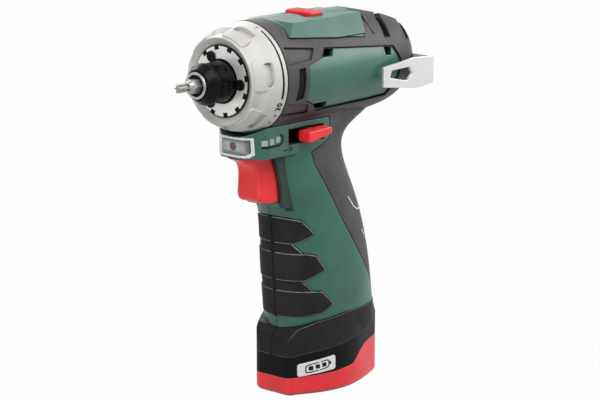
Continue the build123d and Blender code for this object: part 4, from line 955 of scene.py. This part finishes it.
def bow(centre: Pair, radii: Pair, start: float, end: float, count: int = 24) -> Array:
    """Places on an arc of an ellipse of two half widths, between two angles in degrees."""
    turn = np.radians(np.linspace(start, end, count))
    return np.stack((centre[0] + radii[0] * np.cos(turn), centre[1] + radii[1] * np.sin(turn)), axis=1)


def track(*corners: Pair, count: int = 12) -> Array:
    """Places along straight runs between corners.

    Args:
        corners: The corners.
        count: Steps to a run.

    Returns:
        Places in order.
    """
    spots = np.array(corners)
    numbers = np.arange(len(corners))
    steps = np.linspace(0, numbers[-1], count * numbers[-1] + 1)
    return np.stack([np.interp(steps, numbers, spots[:, axis]) for axis in (0, 1)], axis=1)


# Strokes of the digits that are printed, in a box one high, and the middle and the pitch of that box
DIGITS: dict[str, list[Array]] = {
    "0": [bow((0.31, 0.5), (0.23, 0.42), 90.0, 450.0)],
    "1": [track((0.16, 0.72), (0.36, 0.92), (0.36, 0.08))],
    "2": [np.concatenate((bow((0.31, 0.68), (0.22, 0.24), 165.0, -30.0), track((0.42, 0.44), (0.1, 0.1)))),
          track((0.07, 0.08), (0.56, 0.08))],
    "5": [np.concatenate((track((0.52, 0.92), (0.18, 0.92), (0.14, 0.5)),
                          bow((0.3, 0.34), (0.23, 0.26), 120.0, -140.0)))],
}
DIGIT_MIDDLE = np.array((0.31, 0.5))
DIGIT_PITCH = 0.82


@dataclass
class Print:
    """Marks laid on a skin as thin ribbons and dots: printed ink, and painted highlight strokes on the grip.
    """

    skin: Skin
    shape: Shape = field(default_factory=Shape)
    lift: float = 0.04
    sunk: float = 0.05
    dot_sides: int = 20
    dot_top: float = 0.85
    dot_shoulder: float = 0.8

    def line(self, path: Array, width: Value, loop: bool = False) -> None:
        """Lay a ribbon: a flat box profile carried along a path, with the width square to it.

        Args:
            path: Places on the skin, across and along.
            width: Width, or one for each place.
            loop: Whether the path closes on itself.
        """
        ahead = np.roll(path, -1, axis=0) - np.roll(path, 1, axis=0) if loop else np.gradient(path, axis=0)
        ahead = ahead / np.linalg.norm(ahead, axis=1, keepdims=True)
        aside = np.stack((-ahead[:, 1], ahead[:, 0]), axis=1) * np.reshape(width, (-1, 1)) / 2
        flat = np.stack((path + aside, path + aside, path - aside, path - aside), axis=1)
        lift = np.array((-self.sunk, self.lift, self.lift, -self.sunk))
        self.shape.tube(self.skin.wrap(flat[..., 0], flat[..., 1], lift[None, :]), loop)

    def dot(self, across: float, along: float, radius: float) -> None:
        """Lay a round dot: rings that shrink to a small flat top.

        Args:
            across: Place across.
            along: Place along.
            radius: Radius.
        """
        turn = circle(self.dot_sides)[None, :]
        ring = np.array((1.0, 1.0, self.dot_top))[:, None] * radius
        lift = np.array((-self.sunk, self.lift * self.dot_shoulder, self.lift))[:, None]
        self.shape.tube(self.skin.wrap(across + ring * np.cos(turn), along + ring * np.sin(turn), lift))

    def number(self, digits: str, across: float, along: float, tall: float, width: float,
               flip: int = 1) -> None:
        """Write a number about a place, its baseline running across the skin.

        Args:
            digits: The digits.
            across: Place of its middle across.
            along: Place of its middle along.
            tall: Height of a digit.
            width: Width of the strokes.
            flip: Minus one on a skin whose along axis runs down the digits.
        """
        for place, digit in enumerate(digits):
            for stroke in DIGITS[digit]:
                flat = (stroke - DIGIT_MIDDLE) * tall
                flat[:, 0] += (place - (len(digits) - 1) / 2) * DIGIT_PITCH * tall
                self.line(flat * np.array((1, flip)) + np.array((across, along)), width)


@dataclass
class CollarScale:
    """Printed scale of the torque collar: a growing bar, a start mark, dots and plain numbers."""

    skin: CollarSkin = CollarSkin()
    bar_from: float = 63.0
    bar_to: float = -17.0
    bar_along: float = -2.4
    bar_thin: float = 0.8
    bar_thick: float = 1.3
    bar_steps: int = 60
    mark_at: float = 70.0
    mark_along: Pair = (-1.2, -3.4)
    mark_width: float = 0.5
    places: int = 20
    first: float = -26.0
    step: float = -11.5
    numbers: tuple[tuple[int, str], ...] = ((0, "20"), (5, "15"), (10, "10"), (15, "5"), (19, "1"))
    number_along: float = -3.0
    tall: float = 3.0
    stroke: float = 0.72
    dot: float = 0.6
    dot_along: float = -2.6

    def arc(self, angle: float) -> float:
        """Distance round the collar at an angle in degrees."""
        return math.radians(angle) * self.skin.radius

    def build(self) -> None:
        """Print the scale and let it turn with the collar."""
        drawn_marks = Print(self.skin)
        across = np.linspace(self.arc(self.bar_from), self.arc(self.bar_to), self.bar_steps)
        widths = np.linspace(self.bar_thin, self.bar_thick, self.bar_steps)
        drawn_marks.line(np.stack((across, np.full(self.bar_steps, self.bar_along)), axis=1), widths)
        mark = self.arc(self.mark_at)
        drawn_marks.line(track(*((mark, along) for along in self.mark_along)), self.mark_width)
        written = dict(self.numbers)
        for place in range(self.places):
            spot = self.arc(self.first + self.step * place)
            if place in written:
                drawn_marks.number(written[place], spot, self.number_along, self.tall, self.stroke, -1)
            else:
                drawn_marks.dot(spot, self.dot_along, self.dot)
        drawn_marks.shape.piece("collar_scale", INK, Body.COLLAR, Slot.BLACK)


@dataclass
class ChinMarks:
    """Marks beside the charge windows: a line under them that bends up behind, and an arrow by the button.

    The arrow's points are its tail, neck, upper barb, tip and lower barb.
    """

    skin: ChinSkin = ChinSkin()
    line: tuple[Pair, ...] = ((-4.4, -32.0), (6.2, -31.9), (8.2, -30.6), (8.4, -27.8), (6.6, -27.0))
    width: float = 1.2
    arrow: tuple[Pair, ...] = ((8.8, -35.0), (13.2, -35.0), (12.9, -33.6), (15.3, -35.0), (12.9, -36.5))
    arrow_width: float = 0.55

    def build(self) -> None:
        """Print the marks on the housing."""
        drawn_marks = Print(self.skin)
        drawn_marks.line(track(*self.line), self.width)
        tail, neck, upper, tip, lower = self.arrow
        for stroke in ((tail, neck), (upper, tip), (tip, lower)):
            drawn_marks.line(track(*stroke), self.arrow_width)
        drawn_marks.shape.piece("chin_marks", INK, Body.HOUSING, Slot.BLACK)


@dataclass
class RoofMarks:
    """Numbers of the two gears behind the selector, with a dash between them."""

    skin: RoofSkin = RoofSkin()
    along: float = 50.5
    apart: float = 4.2
    tall: float = 2.6
    stroke: float = 0.45
    dash_half: float = 1.6
    dash_width: float = 0.35

    def build(self) -> None:
        """Print the numbers on the housing."""
        drawn_marks = Print(self.skin)
        drawn_marks.number("1", -self.apart, self.along, self.tall, self.stroke)
        drawn_marks.number("2", self.apart, self.along, self.tall, self.stroke)
        drawn_marks.line(track((-self.dash_half, self.along), (self.dash_half, self.along)), self.dash_width)
        drawn_marks.shape.piece("roof_marks", INK, Body.HOUSING, Slot.BLACK)


@dataclass
class GripHighlights:
    """Two pale strokes of painted highlight on the flank of the rear grip."""

    skin: GripSkin = GripSkin()
    long: tuple[Pair, ...] = ((52.7, -63.8), (54.8, -66.6), (57.1, -69.4), (61.0, -71.7), (64.5, -71.9))
    short: tuple[Pair, ...] = ((63.4, -82.3), (66.0, -85.0), (68.6, -88.0))
    width: float = 0.45
    lift: float = 0.12
    sunk: float = 0.4

    def build(self) -> None:
        """Lay the painted highlight strokes on the housing."""
        drawn_marks = Print(self.skin, lift=self.lift, sunk=self.sunk)
        drawn_marks.line(track(*self.long), self.width)
        drawn_marks.line(track(*self.short), self.width)
        drawn_marks.shape.piece("grip_highlight_strokes", PALE, Body.HOUSING, Slot.LABEL)


@dataclass
class LabelPicture:
    """Plain picture of a battery on the pale label: a rounded box with a nub and three bars."""

    node: str = "battery_label"
    middle: Pair = (30.8, 14.3)
    rise: float = 0.17
    half: Pair = (5.6, 2.0)
    line: float = 0.5
    corner: float = 0.35
    sides: int = 72
    nub_out: float = 0.75
    nub_half: float = 0.8
    nub_width: float = 0.8
    bars: int = 3
    bar_spread: float = 0.86
    bar_half: float = 1.05
    bar_width: float = 2.1
    steps: int = 8

    def spot(self, across: Array, along: Array) -> Array:
        """Places on the label, which climbs to the rear, from their distances from its middle."""
        return np.stack((self.middle[0] + across, self.middle[1] + along + self.rise * across), axis=1)

    def upright(self, across: float, half: float) -> Array:
        """Places of an upright stroke at a distance from the middle."""
        return self.spot(np.full(self.steps, across), np.linspace(-half, half, self.steps))

    def build(self) -> None:
        """Print the picture on the battery: the box is an oval whose powers round its corners."""
        drawn_marks = Print(LabelSkin.from_node(self.node))
        half, tall = self.half
        turn = circle(self.sides)
        wave = np.stack((np.cos(turn), np.sin(turn)))
        round_x, round_y = np.sign(wave) * np.abs(wave) ** self.corner
        drawn_marks.line(self.spot(half * round_x, tall * round_y), self.line, True)
        drawn_marks.line(self.upright(half + self.nub_out, self.nub_half), self.nub_width)
        for place in range(self.bars):
            across = half * (2 * (place + 0.5) / self.bars - 1) * self.bar_spread
            drawn_marks.line(self.upright(across, self.bar_half), self.bar_width)
        drawn_marks.shape.piece("label_picture", INK, Body.BATTERY, Slot.BLACK)


@dataclass
class Lamp:
    """Work lamp: a clear cover bent round the chin, a bright dished reflector and a small emitter."""

    node: str = "lamp_lens"
    skin: ChinSkin = ChinSkin()
    cover: float = 0.45
    gap: float = 0.12
    deep: float = 1.5
    dish: float = 0.85
    emitter: float = 1.9
    play: float = 0.05
    end_gap: float = 0.5
    cut: float = 0.7
    cut_below: float = 0.6
    dish_share: float = 0.99
    grid: tuple[int, int] = (61, 17)
    dome_rings: int = 10
    dome_sides: int = 32
    dome_tip: float = 0.02

    def build(self) -> None:
        """Build the lamp where the plain lens of the frame stands.

        Cover and reflector are slabs over one grid, whose ends are cut towards the bottom. The reflector's
        front dips by the product of one less the fourth power of the height and one less the sixth of the
        distance across.
        """
        low, high = measured(self.node)
        reach = float(self.skin.reach(high[1]))
        across, up = patch(*self.grid)
        middle, tall = (high[2] + low[2]) / 2, (high[2] - low[2]) / 2 - self.play
        end = reach - self.end_gap - self.cut * np.maximum(-up - self.cut_below, 0)
        along, level = across * end, middle + tall * up
        sheet = self.skin.sheet
        shell = Shape()
        shell.slab(sheet(along, level, self.play), sheet(along, level, self.cover))
        cover = shell.piece("lamp_cover", CLEAR, Body.HOUSING, Slot.CLEAR)
        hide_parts(self.node)
        start = self.cover + self.gap
        bowl = start + self.dish * (1 - up ** 4) * (1 - across ** 6)
        inner = along * self.dish_share
        dish = Shape()
        dish.slab(sheet(inner, level, bowl), sheet(inner, level, self.deep))
        dish.piece("lamp_reflector", MIRROR, Body.HOUSING, Slot.FRAME)
        self.light(middle, start)

    def light(self, middle: float, start: float) -> None:
        """Add the emitter: a low dome, its height the square root of one less the square of the radius.

        Args:
            middle: Height of the lamp's middle.
            start: Depth where the room behind the cover starts.
        """
        ring = np.linspace(1.0, self.dome_tip, self.dome_rings)[:, None]
        turn = circle(self.dome_sides)[None, :]
        away = self.emitter * ring
        inset = self.deep - self.play - (self.deep - 2 * self.play - start) * np.sqrt(1 - ring ** 2)
        dome = Shape()
        dome.tube(stacked(away * np.cos(turn), self.skin.front + inset, middle + away * np.sin(turn)))
        dome.piece("lamp_emitter", EMITTER, Body.HOUSING, Slot.WINDOW)


@dataclass
class SlotShadeWall:
    """Wall inside the button's slot, in front of the button's stem, made black as painted shade."""

    back: Pair = (11.0, 24.4)
    high: Pair = (-34.0, -24.6)
    thick: float = 1.0
    hollow: float = 0.6
    grid: tuple[int, int] = (13, 9)

    def build(self) -> None:
        """Build the wall: two sheets that dish in by a low parabola towards the middle."""
        along, up = patch(*self.grid)
        place, level = between(self.back, along), between(self.high, up)
        dish = self.hollow * (1 - along ** 2) * (1 - up ** 2)
        wall = Shape()
        wall.slab(stacked(self.thick - dish, place, level), stacked(dish - self.thick, place, level))
        wall.piece("slot_shade_wall", BLACK, Body.HOUSING, Slot.BLACK)


@dataclass
class TriggerSpring:
    """Return spring behind the trigger: a round wire."""

    node: str = "trigger_spring"
    joint: str = "trigger_press"
    wire: float = 0.25
    wire_sides: int = 10
    turns: float = 3.0
    turn_steps: int = 24
    keep: float = 0.2

    def build(self) -> None:
        """Wind the wire: a circle carried along a helix about the trigger's line of travel."""
        low, high = measured(self.node)
        middle = (low + high) / 2
        radius = (high[0] - low[0]) / 2 - self.wire
        turn = np.linspace(0, 2 * np.pi * self.turns, int(self.turn_steps * self.turns) + 1)[:, None]
        ring = circle(self.wire_sides)[None, :]
        away = radius + self.wire * np.cos(ring)
        rise = np.linspace(low[1] + self.wire, high[1] - self.wire, len(turn))[:, None]
        rise = rise + self.wire * np.sin(ring)
        coil = Shape()
        coil.tube(stacked(middle[0] + away * np.cos(turn), rise, middle[2] + away * np.sin(turn)))
        made = coil.piece("return_spring", SPRING, Body.HOUSING, Slot.SPRING)
        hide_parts(self.node)
        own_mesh(made)


@dataclass(frozen=True)
class SoftLamp:
    """A round soft lamp: angles in degrees, distance and width in metres, power in watts."""

    name: str
    azimuth: float
    elevation: float
    away: float
    width: float
    power: float


@dataclass
class Studio:
    """Pale floor, soft lamps, white surroundings and the camera at the photograph's angle.

    The camera's distance, shifts, lens and sensor are millimetres; floor, clip and middle are metres.
    """

    azimuth: float = 41.8
    elevation: float = 12.5
    distance: float = 1134.7
    shift_across: float = -25.4
    shift_up: float = 58.3
    lens: float = 144.0
    sensor: float = 36.0
    clip: Pair = (0.05, 60.0)
    floor_half: float = 8.0
    floor_level: float = -0.0002
    floor_white: float = 0.97
    paper: Colour = (0.6, 0.6, 0.6, 1.0)
    ambient: float = 0.17
    middle: Triple = (0.0, 0.0, 0.1)
    lamps: tuple[SoftLamp, ...] = (
        SoftLamp("key", 58.0, 54.0, 0.6, 0.45, 2.8),
        SoftLamp("rear", 146.0, 28.0, 0.9, 0.7, 5.6),
        SoftLamp("front", 12.0, 14.0, 1.3, 0.8, 6.6),
        SoftLamp("far", 242.0, 36.0, 1.2, 0.8, 7.0),
    )

    def back(self, azimuth: float, elevation: float) -> Vector:
        """Direction from the tool towards a point at an azimuth and elevation in degrees."""
        turn, rise = math.radians(azimuth), math.radians(elevation)
        return Vector((math.sin(turn) * math.cos(rise), -math.cos(turn) * math.cos(rise), math.sin(rise)))

    def camera(self) -> None:
        """Stand the camera off the spindle axis so that the frame is the photograph's."""
        back = self.back(self.azimuth, self.elevation)
        turn = math.radians(self.azimuth)
        right = Vector((math.cos(turn), math.sin(turn), 0.0))
        up = back.cross(right)
        data = bpy.data.cameras.new("camera")
        data.lens = self.lens
        data.sensor_width = self.sensor
        data.clip_start, data.clip_end = self.clip
        spot = back * self.distance - right * self.shift_across - up * self.shift_up + Vector(AXIS)
        eye = linked("camera", data)
        eye.matrix_world = Matrix.Translation(spot * MM) @ Matrix((right, up, back)).transposed().to_4x4()
        bpy.context.scene.camera = eye
        LOG.info("camera placed")

    def floor(self) -> None:
        """Lay a pale floor that reads as white paper and keeps the shadow."""
        corners = np.array(((-1, -1), (1, -1), (1, 1), (-1, 1))) * self.floor_half
        mesh = bpy.data.meshes.new("floor")
        mesh.from_pydata(np.insert(corners, 2, self.floor_level, axis=1).tolist(), [], [(0, 1, 2, 3)])
        plane = linked("floor", mesh)
        make = Shader.named("paper_floor")
        paper = make.node("ShaderNodeBsdfDiffuse", None, {"Color": self.paper})
        white = make.node("ShaderNodeEmission", None, {"Color": WHITE, "Strength": 1.0})
        mixed = make.mix(make.seen() * self.floor_white, paper, white)
        make.node("ShaderNodeOutputMaterial", None, {"Surface": mixed})
        mesh.materials.append(make.owner)
        LOG.info("floor laid")

    def surroundings(self) -> None:
        """White surroundings for the camera and reflections, and a plain ambient level for the rest."""
        make = Shader(bpy.data.worlds.new("studio"))
        plain, white = (make.node("ShaderNodeBackground", None, {"Color": WHITE, "Strength": strength})
                        for strength in (self.ambient, 1.0))
        make.node("ShaderNodeOutputWorld", None, {"Surface": make.mix(make.seen(), plain, white)})
        bpy.context.scene.world = make.owner
        LOG.info("surroundings set")

    def lights(self) -> None:
        """Hang the soft lamps round the tool, each looking at its middle."""
        for lamp in self.lamps:
            data = bpy.data.lights.new(lamp.name, "AREA")
            data.shape = "DISK"
            data.size = lamp.width
            data.energy = lamp.power
            hung = linked(lamp.name, data)
            back = self.back(lamp.azimuth, lamp.elevation)
            hung.location = Vector(self.middle) + back * lamp.away
            hung.rotation_mode = "QUATERNION"
            hung.rotation_quaternion = (-back).to_track_quat("-Z", "Y")
            LOG.info("lamp %s hung", lamp.name)

    def build(self) -> None:
        """Set up the whole studio."""
        bpy.context.scene.view_settings.view_transform = "Standard"
        self.camera()
        self.floor()
        self.surroundings()
        self.lights()


def main() -> None:
    """Dress the tool, add its printed marks, painted highlight strokes, lamp, wall of painted shade and
    spring, and set up the studio.
    """
    logging.basicConfig(level=logging.INFO, format="%(name)s: %(message)s")
    dress_solids()
    for added in (CollarScale(), ChinMarks(), RoofMarks(), GripHighlights(), LabelPicture(), Lamp(), SlotShadeWall(),
                  TriggerSpring()):
        added.build()
    Studio().build()


if __name__ == "__main__":
    main()
